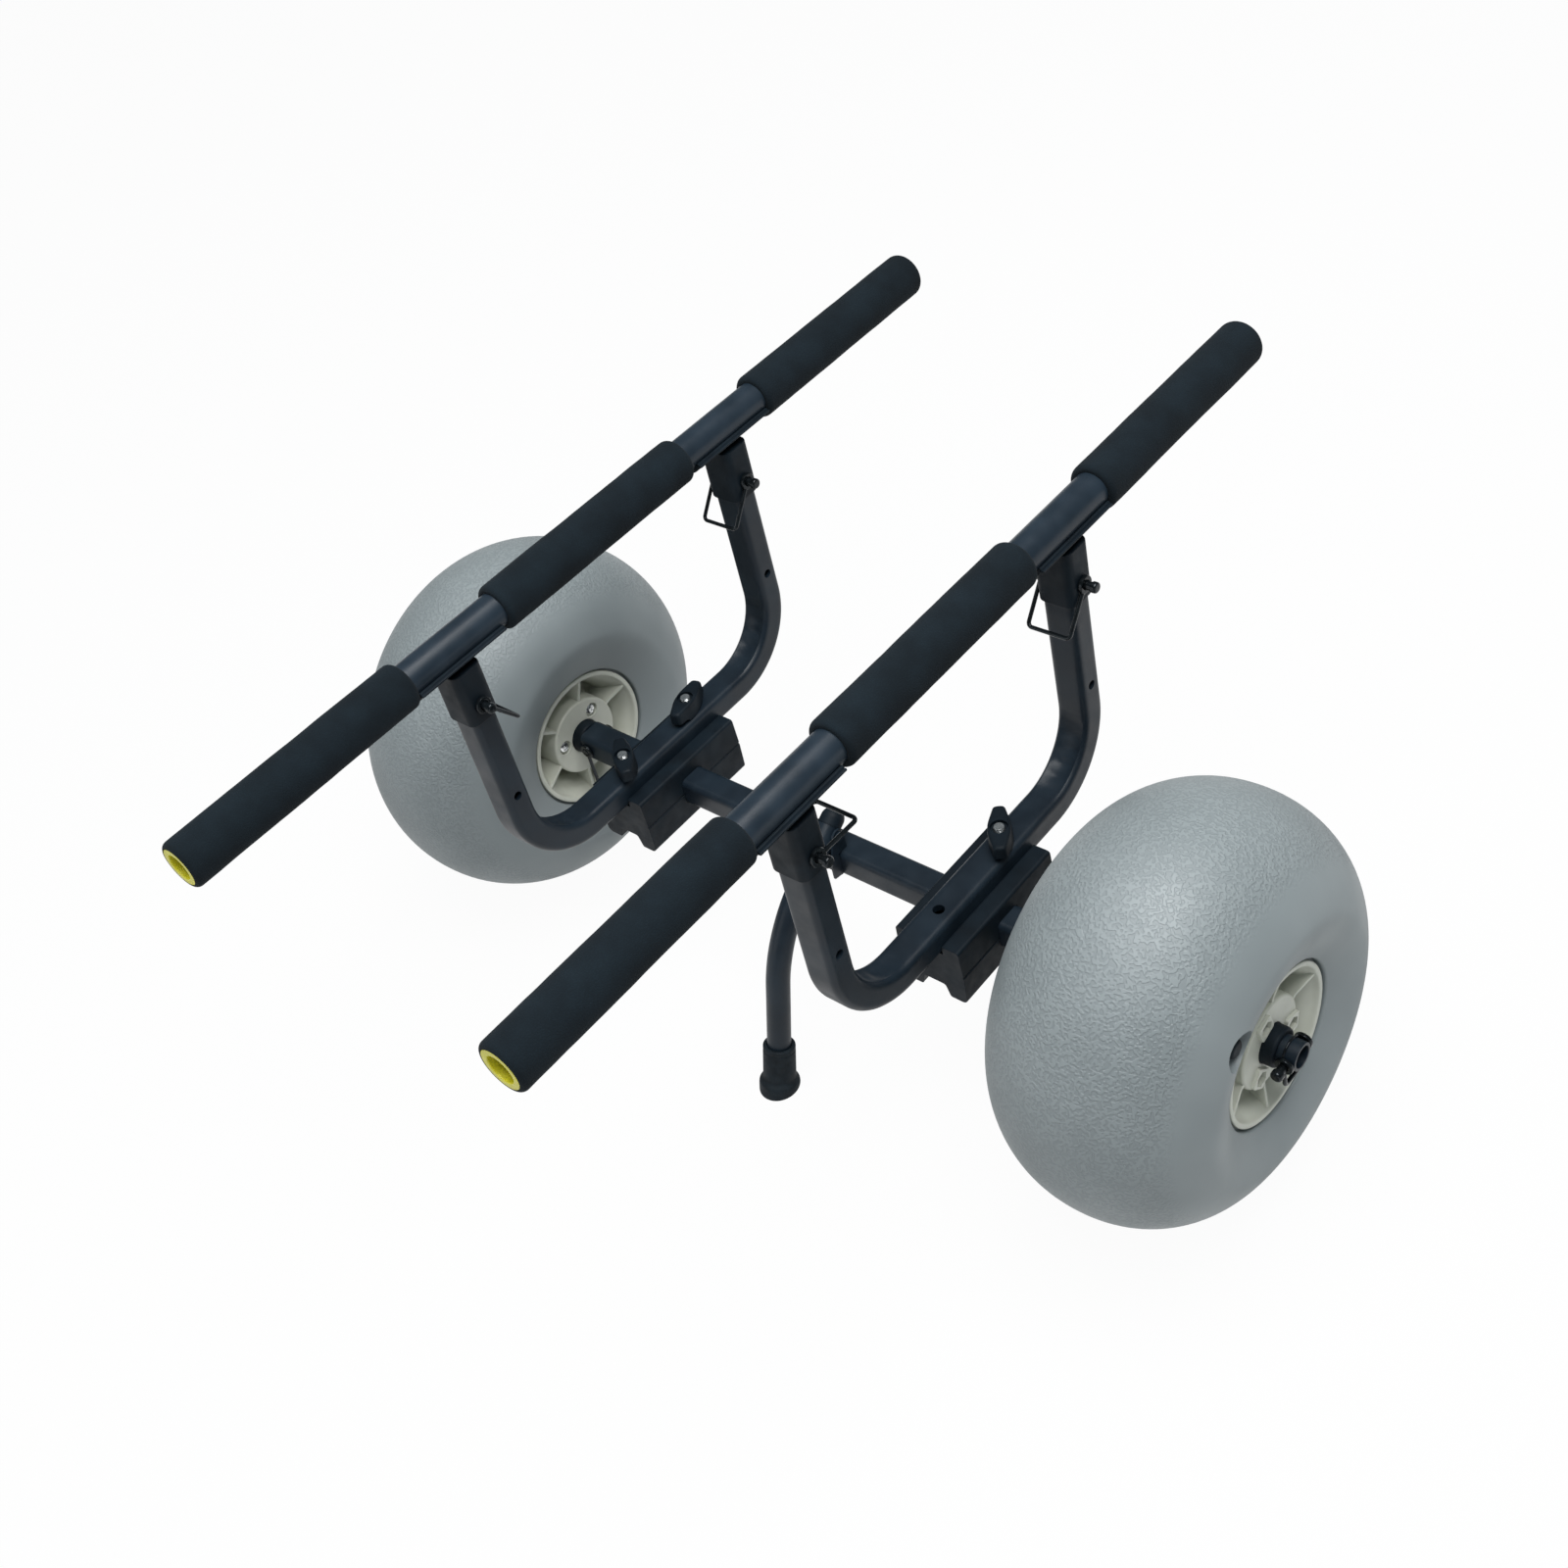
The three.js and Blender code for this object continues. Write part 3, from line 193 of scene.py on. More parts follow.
# Floor, light and the camera that was fitted to the photograph.
FLOOR_REACH = 6000
FLOOR_DROP = 0.2
FLOOR_WHITE = 0.96
SKY_STRENGTH = 0.3
SKY_CUT_IN_GLOSS = 0.12
CAMERA_PLACE = Vector((770.9, -648.1, 1109.8))
CAMERA_AHEAD = Vector((-0.597, 0.455, -0.660))
CAMERA_UP = Vector((-0.324, 0.616, 0.718))
LENS = 42.45
LENS_SHIFT = 0.0352


# Finishes.
def linear(colour):
    channels = [int(colour[i:i + 2], 16) / 255 for i in (1, 3, 5)]
    return [c / 12.92 if c <= 0.04045 else ((c + 0.055) / 1.055) ** 2.4 for c in channels] + [1.0]


def add_node(tree, kind, settings=None, links=None):
    """One shader node, its settings by socket or attribute name, and what feeds its sockets."""
    node = tree.nodes.new("ShaderNode" + kind)
    for name, value in (settings or {}).items():
        if isinstance(name, int) or name in node.inputs:
            node.inputs[name].default_value = value
        else:
            setattr(node, name, value)
    for name, (source, output) in (links or {}).items():
        tree.links.new(source.outputs[output], node.inputs[name])
    return node


def new_material(name, settings):
    """A material with one surface shader, and the place on the piece that its patterns use."""
    material = bpy.data.materials.new(name)
    material.use_nodes = True
    tree = material.node_tree
    tree.nodes.clear()
    place = add_node(tree, "TexCoord")
    shader = add_node(tree, "BsdfPrincipled", settings)
    add_node(tree, "OutputMaterial", links={"Surface": (shader, "BSDF")})
    return material, tree, place, shader


def per_metre(size):
    """Noise scale for a pattern of this size in millimetres."""
    return 1 / (size * MM)


def mottled(tree, place, size, low, high, detail=2.0):
    """A colour that drifts between two over patches of this size."""
    patches = add_node(tree, "TexNoise", {"Scale": per_metre(size), "Detail": detail},
                       {"Vector": (place, "Object")})
    share = add_node(tree, "MapRange", {"From Min": 0.35, "From Max": 0.65}, {"Value": (patches, 0)})
    return add_node(tree, "Mix", {"data_type": "RGBA", 6: linear(low), 7: linear(high)},
                    {0: (share, 0)})


def uneven_gloss(tree, place, shader, size, low, high):
    """Roughness that drifts between two values over patches of this size."""
    patches = add_node(tree, "TexNoise", {"Scale": per_metre(size), "Detail": 3.0},
                       {"Vector": (place, "Object")})
    gloss = add_node(tree, "MapRange", {"From Min": 0.3, "From Max": 0.7, "To Min": low, "To Max": high},
                     {"Value": (patches, 0)})
    tree.links.new(gloss.outputs[0], shader.inputs["Roughness"])


def grainy(tree, place, size, height, detail=2.0, under=None):
    """Bump from noise of this size and height in millimetres, on top of another bump if given."""
    grain = add_node(tree, "TexNoise", {"Scale": per_metre(size), "Detail": detail},
                     {"Vector": (place, "Object")})
    links = {"Height": (grain, 0)}
    if under:
        links["Normal"] = (under, 0)
    return add_node(tree, "Bump", {"Distance": height * MM, "Strength": 1.0}, links)


def tyre_pvc():
    # Soft PVC, blow moulded: satin skin, worm-like grain of about 2 mm on the tread, plain sidewalls. The
    # grain's valleys are painted darker, as painted shade.
    material, tree, place, shader = new_material("blow_moulded_pvc", {"IOR": 1.53})
    from_axle = add_node(tree, "VectorMath", {"operation": "SUBTRACT", 1: (0, 0, AXLE_Z * MM)},
                         {0: (place, "Object")})
    across = add_node(tree, "VectorMath", {"operation": "MULTIPLY", 1: (0, 1, 1)}, {0: (from_axle, 0)})
    radius = add_node(tree, "VectorMath", {"operation": "LENGTH"}, {0: (across, 0)})
    start, full = (r * MM for r in TREAD_GRAIN_R)
    tread = add_node(tree, "MapRange", {"From Min": start, "From Max": full}, {"Value": (radius, "Value")})
    grain = add_node(tree, "TexNoise", {"Scale": per_metre(2.1), "Detail": 0.0},
                     {"Vector": (place, "Object")})
    ridge = add_node(tree, "MapRange", {
        "interpolation_type": "SMOOTHSTEP", "From Min": 0.42, "From Max": 0.56}, {"Value": (grain, 0)})
    height = add_node(tree, "Math", {"operation": "MULTIPLY"}, {0: (ridge, 0), 1: (tread, 0)})
    worms = add_node(tree, "Bump", {"Distance": 0.3 * MM, "Strength": 1.0}, {"Height": (height, 0)})
    skin = grainy(tree, place, 1.6, 0.03, under=worms)
    tree.links.new(skin.outputs[0], shader.inputs["Normal"])
    colour = mottled(tree, place, 90, "#7b8385", "#858d8f")
    # Painted shade: the colour is darkened in the tread grain's valleys.
    valley_shade_mask = add_node(tree, "Math", {"operation": "SUBTRACT"}, {0: (tread, 0), 1: (height, 0)})
    painted_valley_shade = add_node(tree, "Math", {"operation": "MULTIPLY", 1: 0.3}, {0: (valley_shade_mask, 0)})
    shaded = add_node(tree, "Mix", {"data_type": "RGBA", 7: linear("#697073")},
                      {0: (painted_valley_shade, 0), 6: (colour, 2)})
    tree.links.new(shaded.outputs[2], shader.inputs["Base Color"])
    uneven_gloss(tree, place, shader, 40, 0.46, 0.56)
    return material


def plain_finish(name, settings, colours, gloss, grain):
    """A mottled, faintly grainy skin. colours and gloss are (patch size, low, high), and grain is
    (size, height), with sizes and height in millimetres."""
    material, tree, place, shader = new_material(name, settings)
    colour = mottled(tree, place, *colours)
    tree.links.new(colour.outputs[2], shader.inputs["Base Color"])
    uneven_gloss(tree, place, shader, *gloss)
    tree.links.new(grainy(tree, place, *grain).outputs[0], shader.inputs["Normal"])
    return material


def hub_polypropylene():
    # Polypropylene, injection moulded: warm light grey with a faint flow mottle and a low sheen.
    return plain_finish("moulded_polypropylene", {"IOR": 1.49},
                        (22, "#bfc1b5", "#c9cbbf"), (12, 0.40, 0.52), (1.5, 0.02))


def black_nylon():
    # Glass-filled nylon, injection moulded in a spark-eroded mould: near black with a fine matt grain.
    # The real grain is about 0.3 mm and is drawn at 0.9 mm, so that it shows.
    return plain_finish("moulded_nylon", {"IOR": 1.53, "Specular IOR Level": 0.16},
                        (18, "#0b141b", "#101b23"), (10, 0.5, 0.64), (0.9, 0.035))


def powder_coat(name, low, high, gloss_low, gloss_high):
    # Polyester powder coat on steel tube: a slight orange peel of about 2.5 mm that softens reflections.
    return plain_finish(name, {"IOR": 1.5, "Specular IOR Level": 0.3},
                        (30, low, high), (15, gloss_low, gloss_high), (2.5, 0.02))


def nitrile_foam():
    # Closed-cell nitrile foam, extruded and ground: dull, bluish black, with cells of about 0.5 mm.
    # The cells are drawn at 1.3 mm, so that they show.
    material, tree, place, shader = new_material("ground_nitrile_foam", {
        "Roughness": 0.9, "IOR": 1.4, "Specular IOR Level": 0.2, "Sheen Weight": 0.02,
        "Sheen Roughness": 0.6})
    colour = mottled(tree, place, 26, "#0e171d", "#141f26", 4.0)
    cells = add_node(tree, "TexVoronoi", {"Scale": per_metre(1.3)}, {"Vector": (place, "Object")})
    pits = add_node(tree, "MapRange", {"From Min": 0.1, "From Max": 0.6}, {"Value": (cells, 0)})
    speck = add_node(tree, "Math", {"operation": "MULTIPLY", 1: 0.3}, {0: (pits, 0)})
    shaded = add_node(tree, "Mix", {"data_type": "RGBA", 7: linear("#0d1317")},
                      {0: (speck, 0), 6: (colour, 2)})
    tree.links.new(shaded.outputs[2], shader.inputs["Base Color"])
    skin = grainy(tree, place, 7, 0.12, 3.0)
    pores = add_node(tree, "Bump", {"Distance": 0.12 * MM}, {"Height": (pits, 0), "Normal": (skin, 0)})
    tree.links.new(pores.outputs[0], shader.inputs["Normal"])
    return material


def yellow_polyethylene():
    # Polyethylene, injection moulded: lemon yellow, waxy, with light passing a little way in.
    return plain_finish("moulded_polyethylene", {
        "IOR": 1.51, "Subsurface Weight": 0.15, "Subsurface Radius": (0.004, 0.003, 0.001),
        "Subsurface Scale": 0.5}, (14, "#d3cb22", "#ded633"), (8, 0.36, 0.46), (1.5, 0.02))


def zinc_plate():
    # Bright zinc plate on steel: pale metal with a faintly uneven gloss.
    return plain_finish("zinc_plated_steel", {"Metallic": 1.0},
                        (4, "#cfd2d3", "#e2e4e4"), (3, 0.18, 0.34), (0.8, 0.01))


def black_wire_coat():
    # Black plated spring wire and pins: dark, fairly glossy, with small bright glints.
    return plain_finish("black_plated_wire", {"Metallic": 0.6},
                        (5, "#15191c", "#20262a"), (4, 0.14, 0.26), (1, 0.01))


def moulded_rubber():
    # Natural rubber, compression moulded: black and dull, with a light bloom.
    return plain_finish("moulded_rubber", {"IOR": 1.52, "Specular IOR Level": 0.2},
                        (10, "#0f161b", "#172026"), (8, 0.6, 0.78), (1.2, 0.05))


FINISHES = {
    "tyre": tyre_pvc(),
    "hub_plastic": hub_polypropylene(),
    "black_plastic": black_nylon(),
    "frame_paint": powder_coat("frame_powder_coat", "#131d26", "#19252f", 0.36, 0.48),
    "bunk_tube_paint": powder_coat("bunk_tube_powder_coat", "#1b252e", "#222d37", 0.3, 0.4),
    "foam": nitrile_foam(),
    "yellow_plastic": yellow_polyethylene(),
    "steel_hardware": zinc_plate(),
    "black_wire": black_wire_coat(),
    "black_rubber": moulded_rubber(),
}


# Mesh work.
def new_piece(name, points, faces):
    mesh = bpy.data.meshes.new(name)
    mesh.from_pydata([Vector(p) * MM for p in points], [], faces)
    work = bmesh.new()
    work.from_mesh(mesh)
    bmesh.ops.remove_doubles(work, verts=work.verts, dist=1e-7)
    bmesh.ops.recalc_face_normals(work, faces=work.faces)
    work.to_mesh(mesh)
    work.free()
    piece = bpy.data.objects.new(name, mesh)
    bpy.context.scene.collection.objects.link(piece)
    return piece


def settle(piece):
    """Turns the modifiers on a piece into its mesh."""
    shown = piece.evaluated_get(bpy.context.evaluated_depsgraph_get())
    mesh = bpy.data.meshes.new_from_object(shown)
    piece.modifiers.clear()
    piece.data = mesh
    return piece


def combine(piece, other, how):
    step = piece.modifiers.new("step", "BOOLEAN")
    step.operation = how
    step.solver = "EXACT"
    step.object = other
    settle(piece)
    bpy.data.objects.remove(other)
    return piece


def cut(piece, *cutters):
    for cutter in cutters:
        combine(piece, cutter, "DIFFERENCE")
    return piece


def fuse(piece, *others):
    for other in others:
        combine(piece, other, "UNION")
    return piece


def soften(piece, width, segments=3, limit=30):
    step = piece.modifiers.new("step", "BEVEL")
    step.width = width * MM
    step.segments = segments
    step.limit_method = "ANGLE"
    step.angle_limit = math.radians(limit)
    step.use_clamp_overlap = True
    return settle(piece)


def moved(piece, transform):
    piece.data.transform(transform)
    piece.data.update()
    return piece


def shift(x=0, y=0, z=0):
    return Matrix.Translation(Vector((x, y, z)) * MM)


def turn(angle, axis):
    return Matrix.Rotation(angle, 4, axis)


def rounded(outline, radius, steps=3, closed=True):
    """Rounds the corners of an outline. radius is one value, or one for each corner."""
    count = len(outline)
    result = []
    for i, corner in enumerate(outline):
        reach = radius[i] if isinstance(radius, (list, tuple)) else radius
        if reach == 0 or (not closed and i in (0, count - 1)):
            result.append(tuple(corner))
            continue
        here = Vector(corner)
        before, after = Vector(outline[i - 1]) - here, Vector(outline[(i + 1) % count]) - here
        reach = min(reach, before.length * 0.45, after.length * 0.45)
        start, end = here + before.normalized() * reach, here + after.normalized() * reach
        for k in range(steps + 1):
            share = k / steps
            point = start.lerp(here, share).lerp(here.lerp(end, share), share)
            result.append(tuple(point))
    return result


def turned(name, outline, facets=48):
    """Spins a closed or axis-to-axis outline of (along, radius) about X."""
    count = len(outline)
    hollow = outline[0][1] > 0
    points, faces = [], []
    for k in range(facets):
        angle = 2 * math.pi * (k + 0.5) / facets
        points += [(along, r * math.cos(angle), r * math.sin(angle)) for along, r in outline]
        nxt = (k + 1) % facets
        for i in range(count if hollow else count - 1):
            j = (i + 1) % count
            faces.append((k * count + i, k * count + j, nxt * count + j, nxt * count + i))
    return new_piece(name, points, faces)


def rod(name, low, high, radius, facets=32, edge=0.0):
    outline = [(low, 0), (low, radius), (high, radius), (high, 0)]
    return turned(name, rounded(outline, edge, closed=False) if edge else outline, facets)


def pipe(name, low, high, outer, inner, facets=48, edge=0.4):
    outline = [(low, inner), (low, outer), (high, outer), (high, inner)]
    return turned(name, rounded(outline, edge), facets)


def prism(name, outline, low, high, axis):
    """An outline drawn across an axis, filled from low to high along it."""
    orders = {"x": lambda a, b, c: (c, a, b), "y": lambda a, b, c: (a, c, b), "z": lambda a, b, c: (a, b, c)}
    place = orders[axis]
    count = len(outline)
    points = [place(a, b, low) for a, b in outline] + [place(a, b, high) for a, b in outline]
    sides = [(i, (i + 1) % count, count + (i + 1) % count, count + i) for i in range(count)]
    return new_piece(name, points, [tuple(range(count)), tuple(range(count, 2 * count)), *sides])


def rounded_oblong(width, height, radius, corner_steps=5, flat_steps=1):
    arm_a, arm_b = width / 2 - radius, height / 2 - radius
    centres = [(arm_a, arm_b), (-arm_a, arm_b), (-arm_a, -arm_b), (arm_a, -arm_b)]
    points = []
    for corner, (a, b) in enumerate(centres):
        arc = []
        for k in range(corner_steps + 1):
            angle = (corner + k / corner_steps) * math.pi / 2
            arc.append((a + radius * math.cos(angle), b + radius * math.sin(angle)))
        points += arc
        after = centres[(corner + 1) % 4]
        angle = (corner + 1) * math.pi / 2
        start = Vector(arc[-1])
        end = Vector((after[0] + radius * math.cos(angle), after[1] + radius * math.sin(angle)))
        points += [tuple(start.lerp(end, k / flat_steps)) for k in range(1, flat_steps)]
    return points


def layered(name, levels, outline_of):
    """Skins outlines at each (height, inset) level, so that edges round over without a bevel."""
    loops = [[(a, b, height) for a, b in outline_of(inset)] for height, inset in levels]
    count = len(loops[0])
    faces = [tuple(range(count)), tuple(range((len(loops) - 1) * count, len(loops) * count))]
    for level in range(len(loops) - 1):
        low, high = level * count, (level + 1) * count
        for i in range(count):
            j = (i + 1) % count
            faces.append((low + i, low + j, high + j, high + i))
    return new_piece(name, [p for loop in loops for p in loop], faces)


def circle(radius, steps):
    return [(radius * math.cos(2 * math.pi * k / steps), radius * math.sin(2 * math.pi * k / steps))
            for k in range(steps)]


def bent_path(corners, radius, bend_steps, straight_steps=1):
    """Places and directions along straight runs with rounded bends, and the share of a bend passed."""
    corners = [Vector(c) for c in corners]
    stations = []
    place = corners[0]
    for before, corner, after in zip(corners, corners[1:], corners[2:]):
        entry, leave = (corner - before).normalized(), (after - corner).normalized()
        angle = entry.angle(leave)
        start = corner - entry * radius * math.tan(angle / 2)
        axis = entry.cross(leave).normalized()
        centre = start + axis.cross(entry) * radius
        stations += [(place.lerp(start, i / straight_steps), entry, 0.0) for i in range(straight_steps)]
        for step in range(bend_steps + 1):
            share = step / bend_steps
            swing = Matrix.Rotation(angle * share, 3, axis)
            stations.append((centre + swing @ (start - centre), swing @ entry, share))
        place = stations[-1][0]
    way = (corners[-1] - place).normalized()
    for i in range(straight_steps):
        stations.append((place.lerp(corners[-1], (i + 1) / straight_steps), way, 0.0))
    return stations


def swept(name, stations, side, section, inner=None):
    """Skins a section along stations in one plane, whose normal is side. section may be a function of
    the station, and inner is the loop of a hollow tube."""
    loops, inner_loops = [], []
    for place, way, share in stations:
        inward = side.cross(way)
        outline = section(place, share) if callable(section) else section
        loops.append([place + side * a + inward * b for a, b in outline])
        if inner:
            inner_loops.append([place + side * a + inward * b for a, b in inner])
    count = len(loops[0])
    points = [p for loop in loops for p in loop]
    faces = []
    for s in range(len(loops) - 1):
        for i in range(count):
            j = (i + 1) % count
            faces.append((s * count + i, s * count + j, (s + 1) * count + j, (s + 1) * count + i))
    last = (len(loops) - 1) * count
    if not inner:
        faces += [tuple(range(count)), tuple(range(last, last + count))]
        return new_piece(name, points, faces)
    base = len(points)
    points += [p for loop in inner_loops for p in loop]
    faces += [tuple(base + v for v in face) for face in faces]
    for start in (0, last):
        for i in range(count):
            j = (i + 1) % count
            faces.append((start + i, start + j, base + start + j, base + start + i))
    return new_piece(name, points, faces)


def drill(x, y, z, diameter, axis, reach=60):
    hole = rod("hole", -reach, reach, diameter / 2)
    if axis == "y":
        moved(hole, turn(math.pi / 2, "Z"))
    elif axis == "z":
        moved(hole, turn(-math.pi / 2, "Y"))
    return moved(hole, shift(x, y, z))


def crease(piece, limit=32):
    """Smooth shading that breaks at real edges, with flat faces kept flat."""
    work = bmesh.new()
    work.from_mesh(piece.data)
    bmesh.ops.triangulate(work, faces=[face for face in work.faces if len(face.verts) > 4])
    for face in work.faces:
        face.smooth = True
    for edge in work.edges:
        edge.smooth = len(edge.link_faces) == 2 and edge.calc_face_angle(0) < math.radians(limit)
    work.to_mesh(piece.data)
    work.free()
    step = piece.modifiers.new("step", "WEIGHTED_NORMAL")
    step.keep_sharp = True
    step.weight = 80
    return settle(piece)


BODIES = frame["record"]["behaviour"]["bodies"]
NODE_BODY = {node: body for body, nodes in BODIES.items() for node in nodes}
NODE_SLOT = {row["node"]: row["material_slot"] for row in frame["record"]["subparts"]}


def dress(piece, node, limit=32):
    """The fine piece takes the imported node's place, body and finish."""
    piece.name = piece.data.name = node + "_fine"
    crease(piece, limit)
    piece.data.materials.clear()
    piece.data.materials.append(FINISHES[NODE_SLOT[node]])
    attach(piece, NODE_BODY[node])
    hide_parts(node)
    return piece


def add_detail(piece, name, body, slot, limit=32):
    """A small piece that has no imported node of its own."""
    piece.name = piece.data.name = name
    crease(piece, limit)
    piece.data.materials.clear()
    piece.data.materials.append(FINISHES[slot])
    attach(piece, body)
    return piece


# Wheels, drawn with the outer side along +X and then placed.
def wheel_place(side):
    half_turn = turn(math.pi, "Z") if side == "left" else Matrix.Identity(4)
    return shift(SIDE_SIGN[side] * WHEEL_X, 0, AXLE_Z) @ half_turn


def crown(half, rise, steps):
    points = []
    for i in range(steps + 1):
        angle = CROWN_START + (math.pi / 2 - CROWN_START) * i / steps
        across, up = math.cos(angle) ** CROWN_POWER, math.sin(angle) ** CROWN_POWER
        points.append((half * across, CROWN_BASE_R + rise * up))
    points[-1] = (0, CROWN_BASE_R + rise)
    return points


def tyre_side(inset, side_steps, crown_steps):
    """Half of the tyre's section from the bead to the top of the crown, this far inside the skin."""
    tread = crown(CROWN_HALF - inset, TYRE_R - CROWN_BASE_R - inset, crown_steps)
    mouth = Vector((TYRE_MOUTH_X - inset, TYRE_MOUTH_R + inset))
    pull = Vector((TYRE_SIDE_PULL[0] - inset, TYRE_SIDE_PULL[1]))
    shoulder = Vector(tread[0])
    flank = []
    for i in range(side_steps):
        share = i / side_steps
        flank.append(tuple(mouth.lerp(pull, share).lerp(pull.lerp(shoulder, share), share)))
    bead = (TYRE_BEAD_X - inset, TYRE_MOUTH_R + inset)
    side = rounded([bead, *flank[:2]], 1.4, 4, closed=False) if inset == 0 else [bead, *flank[:2]]
    return side + flank[2:] + tread


def mirrored(points):
    return [(-x, r) for x, r in reversed(points)]


def make_tyre(side):
    skin = [(TYRE_BEAD_X, TYRE_BORE_R), *tyre_side(0, 9, 36)]
    inside = [(TYRE_BEAD_X - TYRE_WALL, TYRE_BORE_R), *tyre_side(TYRE_WALL, 6, 12)]
    outline = skin + mirrored(skin[:-1]) + [(-x, r) for x, r in inside] + inside[-2::-1]
    tyre = turned("tyre", outline, TYRE_FACETS)
    # Thicker behind the valve, but nowhere out of the skin.
    limit = [(TYRE_BEAD_X - 2, TYRE_BORE_R + 1.5), *tyre_side(2, 6, 12)]
    pad = moved(rod("pad", VALVE_START_X - 8, CROWN_HALF, VALVE_PAD_R, 47), shift(0, VALVE_Y, VALVE_Z))
    combine(pad, turned("limit", limit + mirrored(limit[:-1]), TYRE_FACETS), "INTERSECT")
    fuse(tyre, pad)
    turns = [math.pi * i / 24 for i in range(25)]
    recess = turned("recess", [(-math.cos(a), math.sin(a)) for a in turns], 48)
    deep, narrow, long = VALVE_RECESS_HALF
    moved(recess, Matrix.Diagonal((deep, narrow, long, 1)))
    moved(recess, shift(VALVE_RECESS_X, VALVE_Y, VALVE_Z) @ turn(VALVE_ANGLE, "X"))
    seat = rod("seat", VALVE_START_X - GAP, VALVE_START_X + 5, VALVE_FOOT_AND_SHADE_R + GAP, 40)
    cut(tyre, recess, moved(seat, shift(0, VALVE_Y, VALVE_Z)))
    dress(moved(tyre, wheel_place(side)), f"tyre_{side}", 40)


def make_valve(side):
    base = VALVE_START_X
    # The wide foot fills the bowl's floor: partly the real foot, partly painted shade standing in for the
    # bowl's shadow.
    stem = [(base, 0), (base, VALVE_FOOT_AND_SHADE_R), (base + 4, VALVE_FOOT_AND_SHADE_R), (base + 5, 6.4), (base + 10.5, 6.4),
            (base + 12, 5), (base + 12, 0)]
    valve = turned("valve", rounded(stem, [0, 0.3, 1, 0.8, 1, 1, 0], closed=False), 40)
    dress(moved(valve, wheel_place(side) @ shift(0, VALVE_Y, VALVE_Z)), f"valve_{side}")


def make_hub(side, half):
    """A hub half: a boss with a flat face, deep pockets between ribs, a bowl and the rim's lip."""
    face, start, bore = HUB_FACE_X, HUB_PARTING_X, HUB_BORE_R
    outline = [
        (start, bore), (face, bore), (face, 31.8), (face - 1.3, 33), (26, 33.6), (26, 40), (46, 41.5),
        (51, 43.6), (54.5, 46.2), (60.5, 48.6), (66.6, 52.4), (70.5, 53.6), (70.5, 57.4), (66.3, 57.4),
        (66.3, 54.9), (start, 54.9), (start, 51.8), (60, 51.8), (53.5, 49.4), (48.5, 46.6), (44, 44.6),
        (23, 43), (23, bore + 4), (start, bore + 4)]
    corners = [0, 0.6, 0.9, 0.9, 2, 2, 3, 2.5, 3, 3, 1.6, 1.3, 1.3, 0.5] + [0] * 10
    hub = turned("hub", rounded(outline, corners, 4), HUB_FACETS)
    for k in range(HUB_RIBS):
        web = [(40, 31), (face - 1, 31), (face - 1, 36), (68.9, 54.8), (65, 54.8), (50, 46), (40, 41)]
        rib = prism("rib", web, -HUB_RIB_T / 2, HUB_RIB_T / 2, "z")
        soften(rib, 0.6, 2)
        moved(rib, turn(HUB_RIB_START + k * 2 * math.pi / HUB_RIBS, "X"))
        fuse(hub, rib)
    spin = Matrix.Identity(4) if half == "outer" else turn(math.pi, "Z")
    place = wheel_place(side) @ spin
    if half == "inner":
        for angle in SCREW_ANGLES:
            well = rod("well", face - SCREW_WELL_DEPTH, face + 5, SCREW_WELL_R, 40)
            cut(hub, moved(well, turn(angle, "X") @ shift(0, SCREW_R, 0)))
    else:
        for angle in NUT_ANGLES:
            spot = turn(angle, "X") @ shift(0, NUT_R, 0)
            raised = prism("raised", rounded_oblong(14.5, 14.5, 2), face - 2, face + 2.6, "x")
            fuse(hub, moved(soften(raised, 0.6, 2), spot))
            floor, pocket_r = face - NUT_POCKET_DEPTH, NUT_POCKET_R
            well = turned("well", [(floor, 0), (floor, pocket_r), (face + 9, pocket_r), (face + 9, 0)], 6)
            cut(hub, moved(well, spot))
    dress(moved(hub, place), f"hub_{half}_{side}")
    for k, angle in enumerate(SCREW_ANGLES if half == "inner" else NUT_ANGLES):
        if half == "inner":
            make_screw(place @ turn(angle, "X") @ shift(0, SCREW_R, 0), k, side)
        else:
            make_nut(place @ turn(angle, "X") @ shift(0, NUT_R, 0), k, side)


def make_screw(place, k, side):
    """A pan-head screw with a cross recess, sunk in its well."""
    base = HUB_FACE_X - SCREW_WELL_DEPTH - FASTENER_SINK
    outline = [(base, 0), (base, SCREW_HEAD_R), (base + 1.3, SCREW_HEAD_R), (base + 2.9, 3), (base + 3.1, 0)]
    head = turned("head", rounded(outline, [0, 0.3, 0.7, 1.2, 0], closed=False), 40)
    bar = [(-2.8, -0.55), (2.8, -0.55), (2.8, 0.55), (-2.8, 0.55)]
    for quarter in (0, math.pi / 2):
        slot = prism("slot", bar, base + 1.5, base + 4, "x")
        cut(head, moved(slot, turn(quarter + 0.6 * k, "X")))
    add_detail(moved(head, place), f"hub_screw_{side}_{k + 1}", f"wheel_{side}", "steel_hardware")


def make_nut(place, k, side):
    """A hexagon nut on its bolt's end, at the bottom of its pocket."""
    base = HUB_FACE_X - NUT_POCKET_DEPTH - FASTENER_SINK
    outline = [(base, 0), (base, NUT_CORNER_R), (base + NUT_H, NUT_CORNER_R), (base + NUT_H, 0)]
    nut = turned("nut", rounded(outline, [0, 0.3, 0.5, 0], closed=False), 6)
    fuse(nut, rod("end", base + 2, base + 5, 2.4, 32, 0.4))
    add_detail(moved(nut, place), f"hub_nut_{side}_{k + 1}", f"wheel_{side}", "steel_hardware")


def make_bushing(side):
    low, high = BUSHING_ENDS
    outline = rounded([(low, 9.8), (low, 13), (low + 1.5, 14), (high - 1.5, 14), (high, 13), (high, 9.8)],
                      [0.3, 1, 1, 1, 1, 0.3])
    dress(moved(turned("bushing", outline, 64), wheel_place(side)), f"hub_bushing_{side}")


